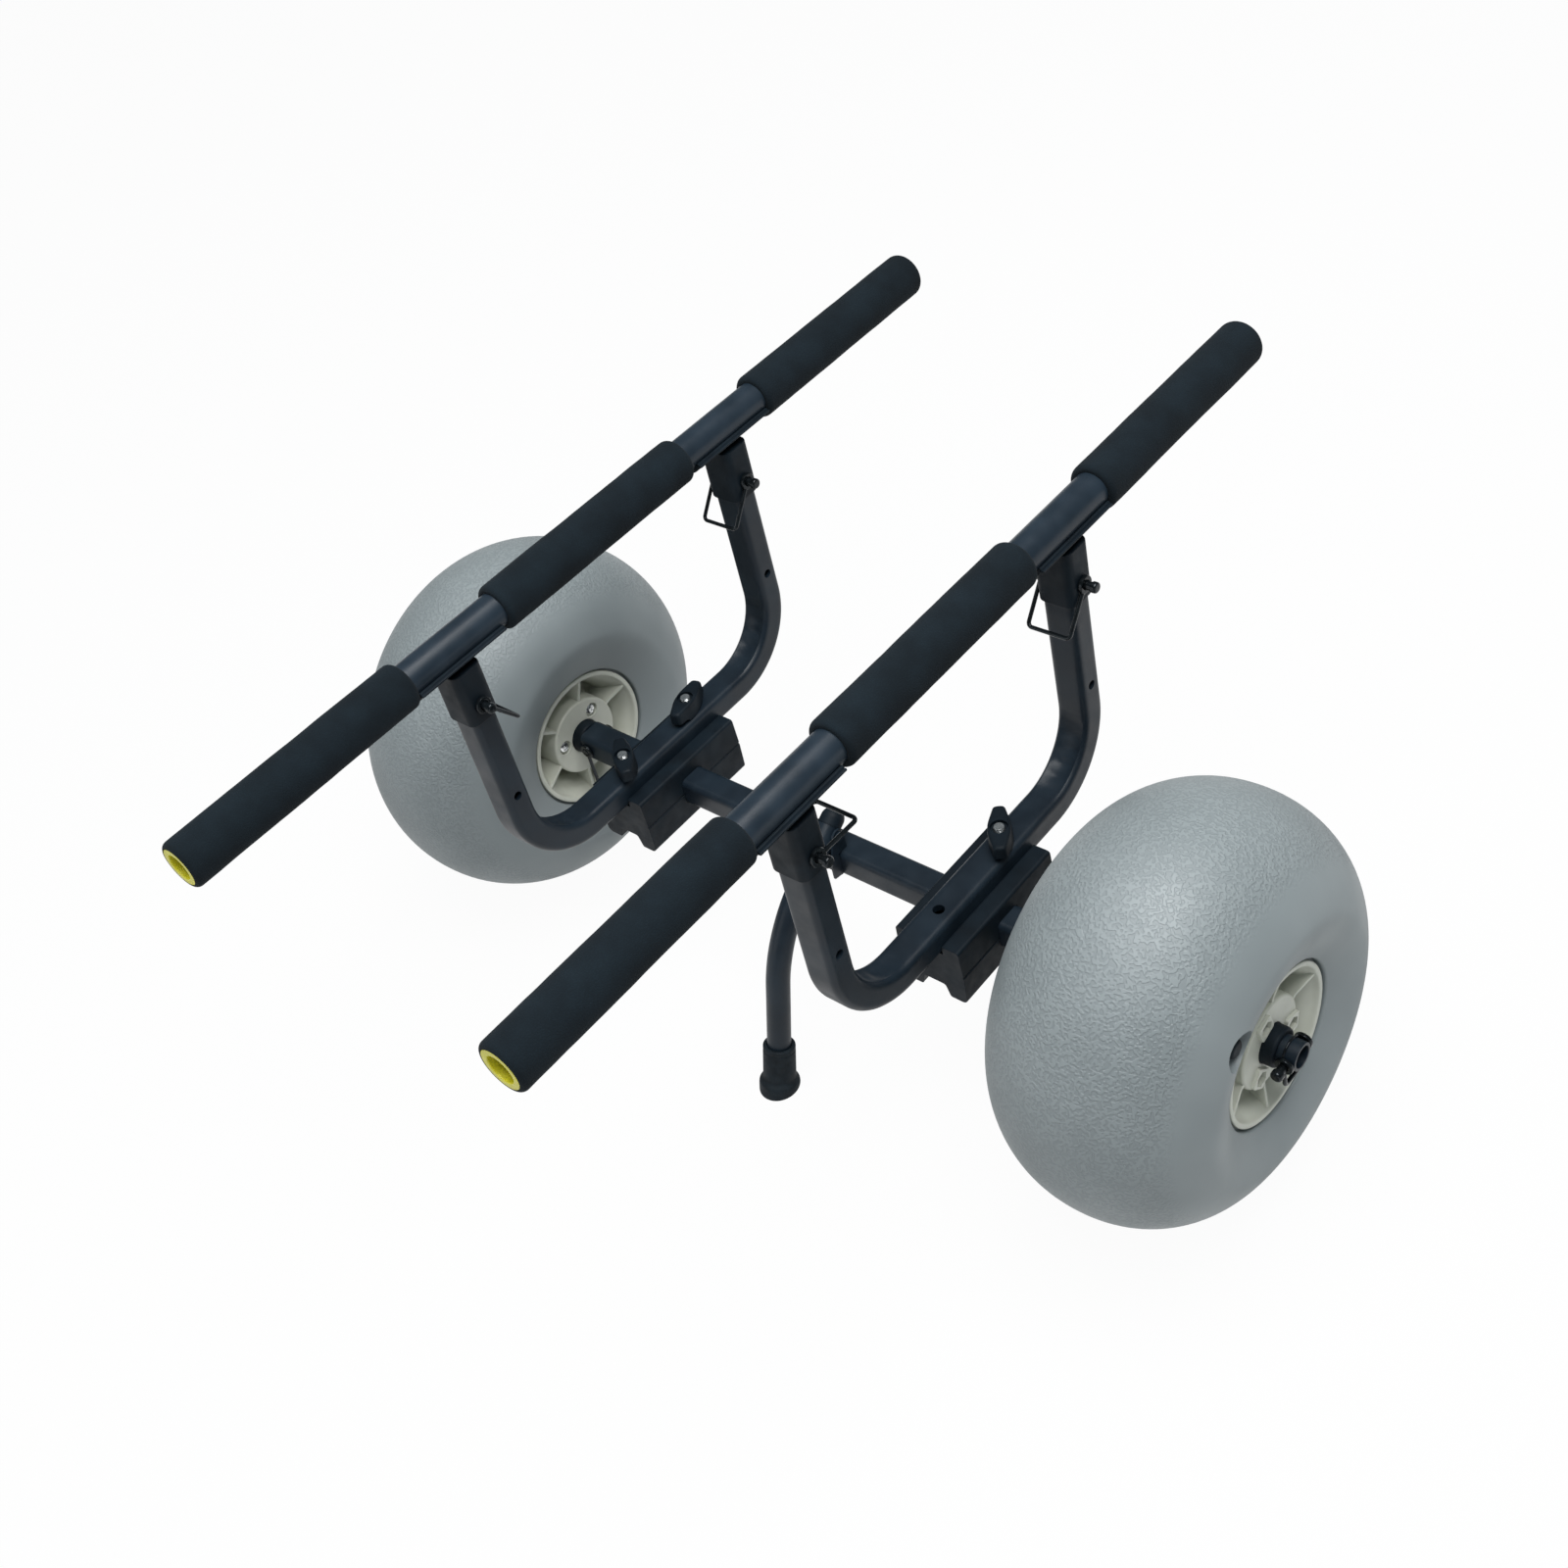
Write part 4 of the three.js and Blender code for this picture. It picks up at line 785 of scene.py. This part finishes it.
# Cross beam, axle stubs and their lock pins.
def make_beam():
    stations = [(Vector((x, 0, AXLE_Z)), X, 0.0) for x in (-BEAM_END, BEAM_END)]
    bore = BEAM_SIDE - 2 * BEAM_WALL
    outer = rounded_oblong(BEAM_SIDE, BEAM_SIDE, BEAM_CORNER, 6)
    inner = rounded_oblong(bore, bore, BEAM_CORNER - BEAM_WALL, 6)
    beam = swept("beam", stations, Y, outer, inner)
    cut(beam, *(drill(x, 0, AXLE_Z, AXLE_PIN_D + 2 * GAP, "y") for x in (-INNER_PIN_X, INNER_PIN_X)))
    dress(beam, "cross_beam")


def make_axle(side):
    axle = pipe("axle", AXLE_START, AXLE_END, AXLE_R, AXLE_R - AXLE_WALL, 64, 0.6)
    cut(axle, *(drill(x, 0, 0, AXLE_PIN_D + 2 * GAP, "y") for x in (INNER_PIN_X, OUTER_PIN_X)))
    half_turn = turn(math.pi, "Z") if side == "left" else Matrix.Identity(4)
    dress(moved(axle, shift(0, 0, AXLE_Z) @ half_turn), f"axle_{side}")


def make_pin(tail, head, diameter, head_diameter=0, head_length=0):
    """A lock pin along X with a rounded tail and a domed head."""
    r = diameter / 2
    outline = [(-tail, 0), (-tail, r * 0.8), (-tail + r * 0.4, r)]
    corners = [0, 1.2, 0.8]
    if head_length:
        outline += [(head - head_length, r), (head - head_length, head_diameter / 2),
                    (head, head_diameter / 2), (head, 0)]
        corners += [0.3, 0.8, 2.2, 0]
    else:
        outline += [(head - r * 0.4, r), (head, r * 0.8), (head, 0)]
        corners += [0.8, 1.2, 0]
    return turned("pin", rounded(outline, corners, 5, closed=False), 40)


def make_bail(half, pin_diameter, reach):
    """A wire bail below a pin along X: two legs, a crossbar and an eye on each side."""
    arm = half + GAP + WIRE_D / 2
    bore = pin_diameter / 2 + GAP
    top = -bore - WIRE_D / 2
    corners = [(-arm, 0, top), (-arm, 0, -reach), (arm, 0, -reach), (arm, 0, top)]
    bail = swept("bail", bent_path(corners, 3.4, 8), Y, circle(WIRE_D / 2, 16))
    for x in (-arm, arm):
        eye = pipe("eye", x - WIRE_D / 2, x + WIRE_D / 2, bore + WIRE_D, bore, 32, 0.9)
        fuse(bail, eye)
    return bail


def make_axle_wire(side):
    """The wire that passes over the axle's end from one end of the outer pin to the other."""
    x = SIDE_SIGN[side] * (OUTER_PIN_X - 2)
    turns = [math.radians(WRAP_START + WRAP_TURN * i / 30) for i in range(31)]
    arc = [Vector((x, WRAP_R * math.cos(a), WRAP_R * math.sin(a) + AXLE_Z)) for a in turns]
    stations = []
    for before, here, after in zip([arc[0], *arc], arc, [*arc[1:], arc[-1]]):
        stations.append((here, (after - before).normalized(), 0.0))
    wire = swept("wire", stations, X, circle(WRAP_WIRE_R, 12))
    add_detail(wire, f"axle_wire_{side}", "beam", "black_wire")


def make_axle_pins(side):
    sign = SIDE_SIGN[side]
    outer = shift(sign * OUTER_PIN_X, 0, AXLE_Z) @ turn(-math.pi / 2, "Z")
    inner = shift(sign * INNER_PIN_X, 0, AXLE_Z) @ turn(-math.pi / 2, "Z")
    dress(moved(make_pin(15, 23, AXLE_PIN_D, *AXLE_PIN_HEAD), outer), f"axle_pin_outer_{side}")
    make_axle_wire(side)
    dress(moved(make_bail(AXLE_R, AXLE_PIN_D, OUTER_BAIL_L), outer), f"axle_bail_outer_{side}")
    dress(moved(make_pin(15.5, 15.5, AXLE_PIN_D), inner), f"axle_pin_inner_{side}")
    dress(moved(make_bail(BEAM_SIDE / 2, AXLE_PIN_D, INNER_BAIL_L), inner), f"axle_bail_inner_{side}")


# Clamp blocks.
def make_block(side):
    x = FRAME_X[side]
    half, inset = BLOCK_HALF_W, BLOCK_HALF_W - 1.2
    outline = [(9, -BLOCK_ARCH_DROP), (12, -28.5), (inset - 3, -28.5), (inset, -25.5), (half - 0.3, -1.6),
               (half - 1.0, -1.1), (half - 1.0, 0.1), (half - 0.3, 0.6), (inset, 22.5), (inset - 1.5, 24),
               (12.8, 24), (12.8, 16.2)]
    outline += [(-a, b) for a, b in reversed(outline)]
    corners = [2, 1.5, 2.5, 2.5, 0.3, 0.2, 0.2, 0.3, 1.5, 1, 0.8, 0]
    section = rounded(outline, corners + corners[::-1], 3)
    block = prism("block", section, -BLOCK_L / 2, BLOCK_L / 2, "y")
    soften(block, 1.2, 3, 50)
    bore = BEAM_SIDE + 2 * GAP
    tunnel = prism("tunnel", rounded_oblong(bore, bore, BEAM_CORNER, 6), -40, 40, "x")
    cut(block, tunnel, *(drill(0, y, 0, BOLT_D + 2 * GAP, "z") for y in (-BOLT_Y, BOLT_Y)))
    dress(moved(block, shift(x, 0, AXLE_Z)), f"clamp_block_{side}")


# U-shaped tubes. The bender's mandrel leaves the inner wall of each bend pressed in and puckered.
def dented_section(place, share):
    """The tube's outline at a place along it, with the inner wall pushed in and puckered in a bend."""
    flat = U_WIDTH / 2 - U_CORNER
    push = BEND_DENT * math.sin(math.pi * share) ** 1.2 if 0 < share < 1 else 0.0
    pucker = 0.7 * math.sin(share * math.pi * 7) ** 2 * math.sin(math.pi * share)
    section = []
    for a, b in rounded_oblong(U_WIDTH, U_DEPTH, U_CORNER, 5, 8):
        if b > U_DEPTH / 2 - 0.01 and abs(a) < flat + 0.01:
            trough = math.cos(a / (flat + 1.2) * math.pi / 2) ** 0.6
            crumple = noise.noise(Vector((a * 0.1, place.y * 0.09, place.z * 0.09))) * 0.5
            b -= (push - pucker) * trough + crumple * trough * math.sin(math.pi * share)
        section.append((a, b))
    return section


def make_u_frame(side):
    corners = [(0, -ARM_Y, U_ARM_TOP_Z), (0, -ARM_Y, U_LOW_Z), (0, ARM_Y, U_LOW_Z), (0, ARM_Y, U_ARM_TOP_Z)]
    path = bent_path(corners, U_BEND_R, 60, 2)
    inner = rounded_oblong(U_WIDTH - 4 * U_WALL, U_DEPTH - 2 * U_WALL - 2.4 * BEND_DENT, 1.5, 5, 8)
    tube = swept("tube", path, X, dented_section, inner)
    holes = [drill(0, y, 0, BOLT_D + 2 * GAP, "z", 400) for y in (-BOLT_Y, BOLT_Y)]
    for y in (-ARM_Y, ARM_Y):
        holes += [drill(0, y, z, PIN_HOLE_D, "x") for z in (ARM_PIN_Z, SPARE_HOLE_Z)]
    cut(tube, *holes)
    dress(moved(tube, shift(FRAME_X[side])), f"u_frame_{side}")


def make_bolt(side, end):
    y = END_SIGN[end] * BOLT_Y
    head_top = AXLE_Z - BLOCK_ARCH_DROP - GAP
    top = U_TOP_FACE_Z + GAP + KNOB_H + 0.5
    bolt = rod("bolt", head_top - 3, top, BOLT_D / 2, 32, 1.0)
    head_low = head_top - BOLT_HEAD_H
    hexagon = [(head_low, 0), (head_low, BOLT_HEAD_R), (head_top, BOLT_HEAD_R), (head_top, 0)]
    fuse(bolt, turned("head", rounded(hexagon, [0, 0.8, 0.3, 0], closed=False), 6))
    # Thread on the end that shows.
    for k in range(4):
        z = top - 1.3 - THREAD_PITCH * k
        groove = [(z - 0.45, 6), (z - 0.45, 3.9), (z, 3.4), (z + 0.45, 3.9), (z + 0.45, 6)]
        cut(bolt, turned("groove", groove, 32))
    dress(moved(bolt, shift(FRAME_X[side], y) @ turn(-math.pi / 2, "Y")), f"clamp_bolt_{side}_{end}")


def knob_outline(inset):
    tip, end, wide = 4.5 - inset, KNOB_HALF_L - inset, 8.75 - inset
    corners = [(-tip, -end), (tip, -end), (wide, -5), (wide, 5), (tip, end), (-tip, end), (-wide, 5),
               (-wide, -5)]
    return rounded(corners, [2.5, 2.5, 4, 4] * 2, 5)


def make_knob(side, end):
    """A wing knob: soft edges, wings that are thinner at their tips, and a well round the bolt's end."""
    y = END_SIGN[end] * BOLT_Y
    top = KNOB_H
    levels = [(0, 0.9), (0.3, 0.3), (0.9, 0), (top - 2, 0.4), (top - 1.1, 0.7), (top - 0.4, 1.3),
              (top, 2.3)]
    knob = layered("knob", levels, knob_outline)
    for sign in (-1, 1):
        under = [(sign * 9.5, -2), (sign * 12.5, 3.2), (sign * 30, 5.2), (sign * 30, -2)]
        cut(knob, prism("under", rounded(under, [0, 3, 0, 0], 4), -12, 12, "x"))
    cut(knob, moved(rod("hole", -5, 30, BOLT_D / 2 + GAP), turn(-math.pi / 2, "Y")))
    cut(knob, moved(rod("well", top - 2.5, 30, 6.5, 48), turn(-math.pi / 2, "Y")))
    angle = math.radians(KNOB_ANGLES[f"{side}_{end}"])
    place = shift(FRAME_X[side], y, U_TOP_FACE_Z + GAP) @ turn(angle, "Z")
    dress(moved(knob, place), f"wing_knob_{side}_{end}")


def make_saddle(side, end):
    y = END_SIGN[end] * ARM_Y
    seat = BUNK_TUBE_R + GAP
    shell = seat + SADDLE_WALL
    lip_low, lip_top = -8.2, -4.6
    lip = [(seat + 3.3, lip_low + 0.8), (seat + 3.3, lip_top - 1.4), (seat + 2.3, lip_top - 1.0),
           (seat + 1.6, lip_top - 1.6), (seat + 0.9, lip_top)]
    outline = lip + mirrored(lip)
    low = math.asin(lip_low / shell)
    for i in range(17):
        angle = math.pi - low + (i / 16) * (math.pi + 2 * low)
        outline.append((shell * math.cos(angle), shell * math.sin(angle)))
    cradle = prism("cradle", outline, -SADDLE_L / 2, SADDLE_L / 2, "y")
    soften(cradle, 0.7, 2, 50)
    moved(cradle, shift(0, 0, BUNK_Z))
    socket = prism("socket", rounded_oblong(SOCKET_WIDTH, SOCKET_DEPTH, U_CORNER + 2.2, 6),
                   SOCKET_LOW_Z, BUNK_Z - seat - 1.2, "z")
    soften(socket, 0.8, 2, 50)
    fuse(cradle, socket)
    tube = moved(rod("tube", -60, 60, seat, 64), turn(math.pi / 2, "Z"))
    hollow = rounded_oblong(U_WIDTH + 2 * GAP, U_DEPTH + 2 * GAP, U_CORNER, 6)
    cavity = prism("cavity", hollow, SOCKET_LOW_Z - 10, U_ARM_TOP_Z + GAP, "z")
    cut(cradle, moved(tube, shift(0, 0, BUNK_Z)), cavity, drill(0, 0, ARM_PIN_Z, PIN_HOLE_D, "x"))
    dress(moved(cradle, shift(FRAME_X[side], y)), f"saddle_{side}_{end}")


def make_arm_pin(side, end):
    y = END_SIGN[end] * ARM_Y
    hang = BAIL_RAISED if (side, end) == ("right", "front") else BAIL_HANG
    inward = 1 if end == "front" else -1
    place = shift(FRAME_X[side], y, ARM_PIN_Z)
    dress(moved(make_pin(21, 27, ARM_PIN_D, *ARM_PIN_HEAD), place), f"arm_pin_{side}_{end}")
    bail = make_bail(SOCKET_WIDTH / 2, ARM_PIN_D, ARM_BAIL_L)
    dress(moved(bail, place @ turn(inward * math.radians(90 - hang), "X")), f"arm_bail_{side}_{end}")


# Bunks: tube, foam sleeves and open end plugs, drawn along X and turned to lie along Y.
def along_y(piece, side, y=0.0, flip=False):
    swing = turn(-math.pi / 2 if flip else math.pi / 2, "Z")
    return moved(piece, shift(FRAME_X[side], y, BUNK_Z) @ swing)


def make_foam(side, end):
    """A stretched-on foam sleeve: soft rounded ends, and a skin that isn't quite round or even."""
    half, bore = FOAM_L / 2, BUNK_TUBE_R + GAP
    turns = [i / 8 * math.pi / 2 for i in range(9)]
    low_r = FOAM_R - FOAM_END_DROP
    left = [(-half + FOAM_END_RUN * (1 - math.cos(a)), low_r + FOAM_END_DROP * math.sin(a)) for a in turns]
    run = [(-half + FOAM_END_RUN + (FOAM_L - 2 * FOAM_END_RUN) * i / 44, FOAM_R) for i in range(1, 44)]
    outline = left + run + [(-x, r) for x, r in reversed(left)]
    if end == "middle":
        outline = [(-half, bore), *outline, (half, bore)]
    else:
        rim, pocket = PLUG_R + GAP, half - PLUG_T - 2 * GAP
        outline = [(-half, bore), *outline, (half, rim), (pocket, rim), (pocket, bore)]
    sleeve = turned("sleeve", outline, 72)
    seed = Vector((SIDE_SIGN[side] * 3.1, END_SIGN.get(end, 0) * 5.7, 1.3))
    for vertex in sleeve.data.vertices:
        across = Vector((0, vertex.co.y, vertex.co.z))
        if across.length > (PLUG_R + 1) * MM:
            swell = noise.noise(vertex.co * 22 + seed) * 0.28 + noise.noise(vertex.co * 90 + seed) * 0.12
            vertex.co += across.normalized() * (swell - 0.2) * MM
    y = END_SIGN.get(end, 0) * FOAM_PITCH
    along_y(sleeve, side, y, end == "front")
    dress(sleeve, f"foam_{side}_{end}", 60)


def make_bunk(side):
    tube = pipe("tube", -BUNK_TUBE_HALF, BUNK_TUBE_HALF, BUNK_TUBE_R, BUNK_TUBE_R - BUNK_TUBE_WALL, 64)
    dress(along_y(tube, side), f"bunk_tube_{side}")
    for end in ("front", "middle", "rear"):
        make_foam(side, end)
    for end in END_SIGN:
        face, spigot = PLUG_FACE, BUNK_TUBE_R - BUNK_TUBE_WALL - GAP
        back = face - PLUG_T
        tip = back - PLUG_SPIGOT_L
        outline = rounded([(face, PLUG_HOLE_R), (face, PLUG_R), (back, PLUG_R), (back, spigot), (tip, spigot),
                           (tip, PLUG_HOLE_R)], [0.9, 0.9, 0.3, 0, 0.5, 0.5], 4)
        dress(along_y(turned("plug", outline, 64), side, 0, end == "front"), f"end_plug_{side}_{end}")


# Kickstand.
def down(start, angle, distance):
    return start - Vector((0, math.cos(angle), math.sin(angle))) * distance


STAND_RIM = down(STAND_PIVOT, STAND_UPPER, -4.6)
STAND_CORNER = down(STAND_PIVOT, STAND_UPPER, STAND_CORNER_RUN)
GROUND_RUN = STAND_CORNER.z / math.sin(STAND_LOWER)
FOOT_TOP = down(STAND_CORNER, STAND_LOWER, GROUND_RUN - FOOT_COLLAR_L - FOOT_FLARE_L)


def make_stand_leg():
    """The bent tube, from its rim over the pivot to its end in the foot."""
    leg_end = down(FOOT_TOP, STAND_LOWER, FOOT_GRIP_L)
    path = bent_path([STAND_RIM, STAND_CORNER, leg_end], STAND_BEND_R, 24)
    leg = swept("leg", path, X, circle(STAND_R, 40), circle(STAND_R - STAND_WALL, 40))
    cut(leg, drill(0, STAND_PIVOT.y, STAND_PIVOT.z, STAND_PIN_D, "x"))
    dress(moved(leg, shift(STAND_X)), "kickstand_leg")


def make_stand_cap():
    """A domed cap in the tube's upper end, with a small dimple."""
    cap_r = STAND_R - GAP
    turns = [i / 12 * math.pi / 2 for i in range(12)]
    dome = [(CAP_SIDE + cap_r * math.sin(a) * CAP_RISE, cap_r * math.cos(a)) for a in turns]
    outline = [(-1.2, 0), (-1.2, 7.3), (GAP, 7.3), (GAP, cap_r), *dome, (CAP_SIDE + cap_r * CAP_RISE, 0)]
    cap = turned("cap", outline, 48)
    cut(cap, moved(rod("dimple", CAP_SIDE, 20, 1.5, 24), shift(0, 4.6, -2.6)))
    lean = turn(STAND_UPPER, "X") @ turn(math.pi / 2, "Z")
    dress(moved(cap, shift(STAND_X, STAND_RIM.y, STAND_RIM.z) @ lean), "kickstand_cap")


def make_stand_foot():
    """A flared rubber foot over the tube's lower end, cut off flat at the ground."""
    bottom = FOOT_COLLAR_L + FOOT_FLARE_L + FOOT_R
    outline = [
        (FOOT_GRIP_L + GAP, 0), (FOOT_GRIP_L + GAP, 9.5), (0, 9.5), (0, 12.4), (3, 12.5), (4, 12), (5, 12.5),
        (FOOT_COLLAR_L - 1, 12.7), (FOOT_COLLAR_L + 2, 15.4), (FOOT_COLLAR_L + 4, FOOT_R), (bottom, FOOT_R),
        (bottom, 0)]
    corners = [0, 0.5, 0.6, 1, 0.5, 0.3, 0.5, 1.5, 1, 1, 0, 0]
    foot = turned("foot", rounded(outline, corners, 3, closed=False), 56)
    lean = turn(STAND_LOWER, "X") @ turn(-math.pi / 2, "Z")
    moved(foot, shift(0, FOOT_TOP.y, FOOT_TOP.z) @ lean)
    ground = prism("ground", [(-300, -300), (300, -300), (300, 300), (-300, 300)], -200, 0, "z")
    cut(foot, ground)
    dress(moved(foot, shift(STAND_X)), "kickstand_foot")


def finish_plain(node):
    """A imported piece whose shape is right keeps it, and takes its finish."""
    mesh = frame["nodes"][node].data
    mesh.materials.clear()
    mesh.materials.append(FINISHES[NODE_SLOT[node]])


make_beam()
for side in SIDE_SIGN:
    make_tyre(side)
    make_valve(side)
    for half in ("outer", "inner"):
        make_hub(side, half)
    make_bushing(side)
    make_axle(side)
    make_axle_pins(side)
    make_block(side)
    make_u_frame(side)
    make_bunk(side)
    for end in END_SIGN:
        make_saddle(side, end)
        make_arm_pin(side, end)
        if (side, end) != ("right", "front"):
            make_bolt(side, end)
            make_knob(side, end)
make_stand_leg()
make_stand_cap()
make_stand_foot()
for node in ("kickstand_bracket", "kickstand_pivot"):
    finish_plain(node)


# Floor, light and camera.
def make_floor():
    """Pure white to the camera and to reflections, but for a little that keeps the cart's shadow."""
    reach = FLOOR_REACH
    corners = [(-reach, -reach, 0), (reach, -reach, 0), (reach, reach, 0), (-reach, reach, 0)]
    floor = moved(new_piece("floor", corners, [(0, 1, 2, 3)]), shift(0, 0, -FLOOR_DROP))
    material, tree, _, shader = new_material("pale_floor", {
        "Base Color": linear("#cfd0d0"), "Roughness": 0.9})
    path = add_node(tree, "LightPath")
    seen = add_node(tree, "Math", {"operation": "MAXIMUM"},
                    {0: (path, "Is Camera Ray"), 1: (path, "Is Glossy Ray")})
    share = add_node(tree, "Math", {"operation": "MULTIPLY", 1: FLOOR_WHITE}, {0: (seen, 0)})
    white = add_node(tree, "Emission", {"Color": (1, 1, 1, 1), "Strength": 1.0})
    mixed = add_node(tree, "MixShader", links={0: (share, 0), 1: (shader, 0), 2: (white, 0)})
    output = next(n for n in tree.nodes if n.type == "OUTPUT_MATERIAL")
    tree.links.new(mixed.outputs[0], output.inputs["Surface"])
    floor.data.materials.append(material)


def add_lamp(name, place, aim, size, power):
    """A square softbox, with its place, aim and side in metres and its power in watts."""
    lamp = bpy.data.lights.new(name, "AREA")
    lamp.size = size
    lamp.energy = power
    holder = bpy.data.objects.new(name, lamp)
    holder.location = place
    holder.rotation_euler = (Vector(aim) - Vector(place)).to_track_quat("-Z", "Y").to_euler()
    bpy.context.scene.collection.objects.link(holder)


def light_studio():
    """A white backdrop to the camera, and a dim, faintly blue sky for everything else."""
    world = bpy.data.worlds.new("studio")
    world.use_nodes = True
    tree = world.node_tree
    tree.nodes.clear()
    path = add_node(tree, "LightPath")
    level = add_node(tree, "Math", {"operation": "MULTIPLY_ADD", 1: -SKY_CUT_IN_GLOSS, 2: SKY_STRENGTH},
                     {0: (path, "Is Glossy Ray")})
    dim = add_node(tree, "Background", {"Color": (0.86, 0.95, 1.0, 1)}, {"Strength": (level, 0)})
    white = add_node(tree, "Background", {"Color": (1, 1, 1, 1), "Strength": 1.0})
    mixed = add_node(tree, "MixShader", links={0: (path, "Is Camera Ray"), 1: (dim, 0), 2: (white, 0)})
    add_node(tree, "OutputWorld", links={"Surface": (mixed, 0)})
    bpy.context.scene.world = world
    add_lamp("top_softbox", (0.45, -0.1, 2.3), (0.1, 0, 0.2), 1.6, 68)
    add_lamp("front_softbox", (-0.9, -2.4, 1.0), (0, 0, 0.2), 1.4, 8)


def place_camera():
    camera = bpy.data.cameras.new("camera")
    camera.sensor_width = 36
    camera.lens = LENS
    camera.shift_x = LENS_SHIFT
    camera.clip_start = 0.05
    camera.clip_end = 50
    holder = bpy.data.objects.new("camera", camera)
    ahead = CAMERA_AHEAD.normalized()
    right = ahead.cross(CAMERA_UP).normalized()
    above = right.cross(ahead)
    axes = Matrix((right, above, -ahead)).transposed().to_4x4()
    holder.matrix_world = Matrix.Translation(CAMERA_PLACE * MM) @ axes
    bpy.context.scene.collection.objects.link(holder)
    bpy.context.scene.camera = holder


make_floor()
light_studio()
place_camera()
bpy.context.scene.view_settings.view_transform = "Standard"
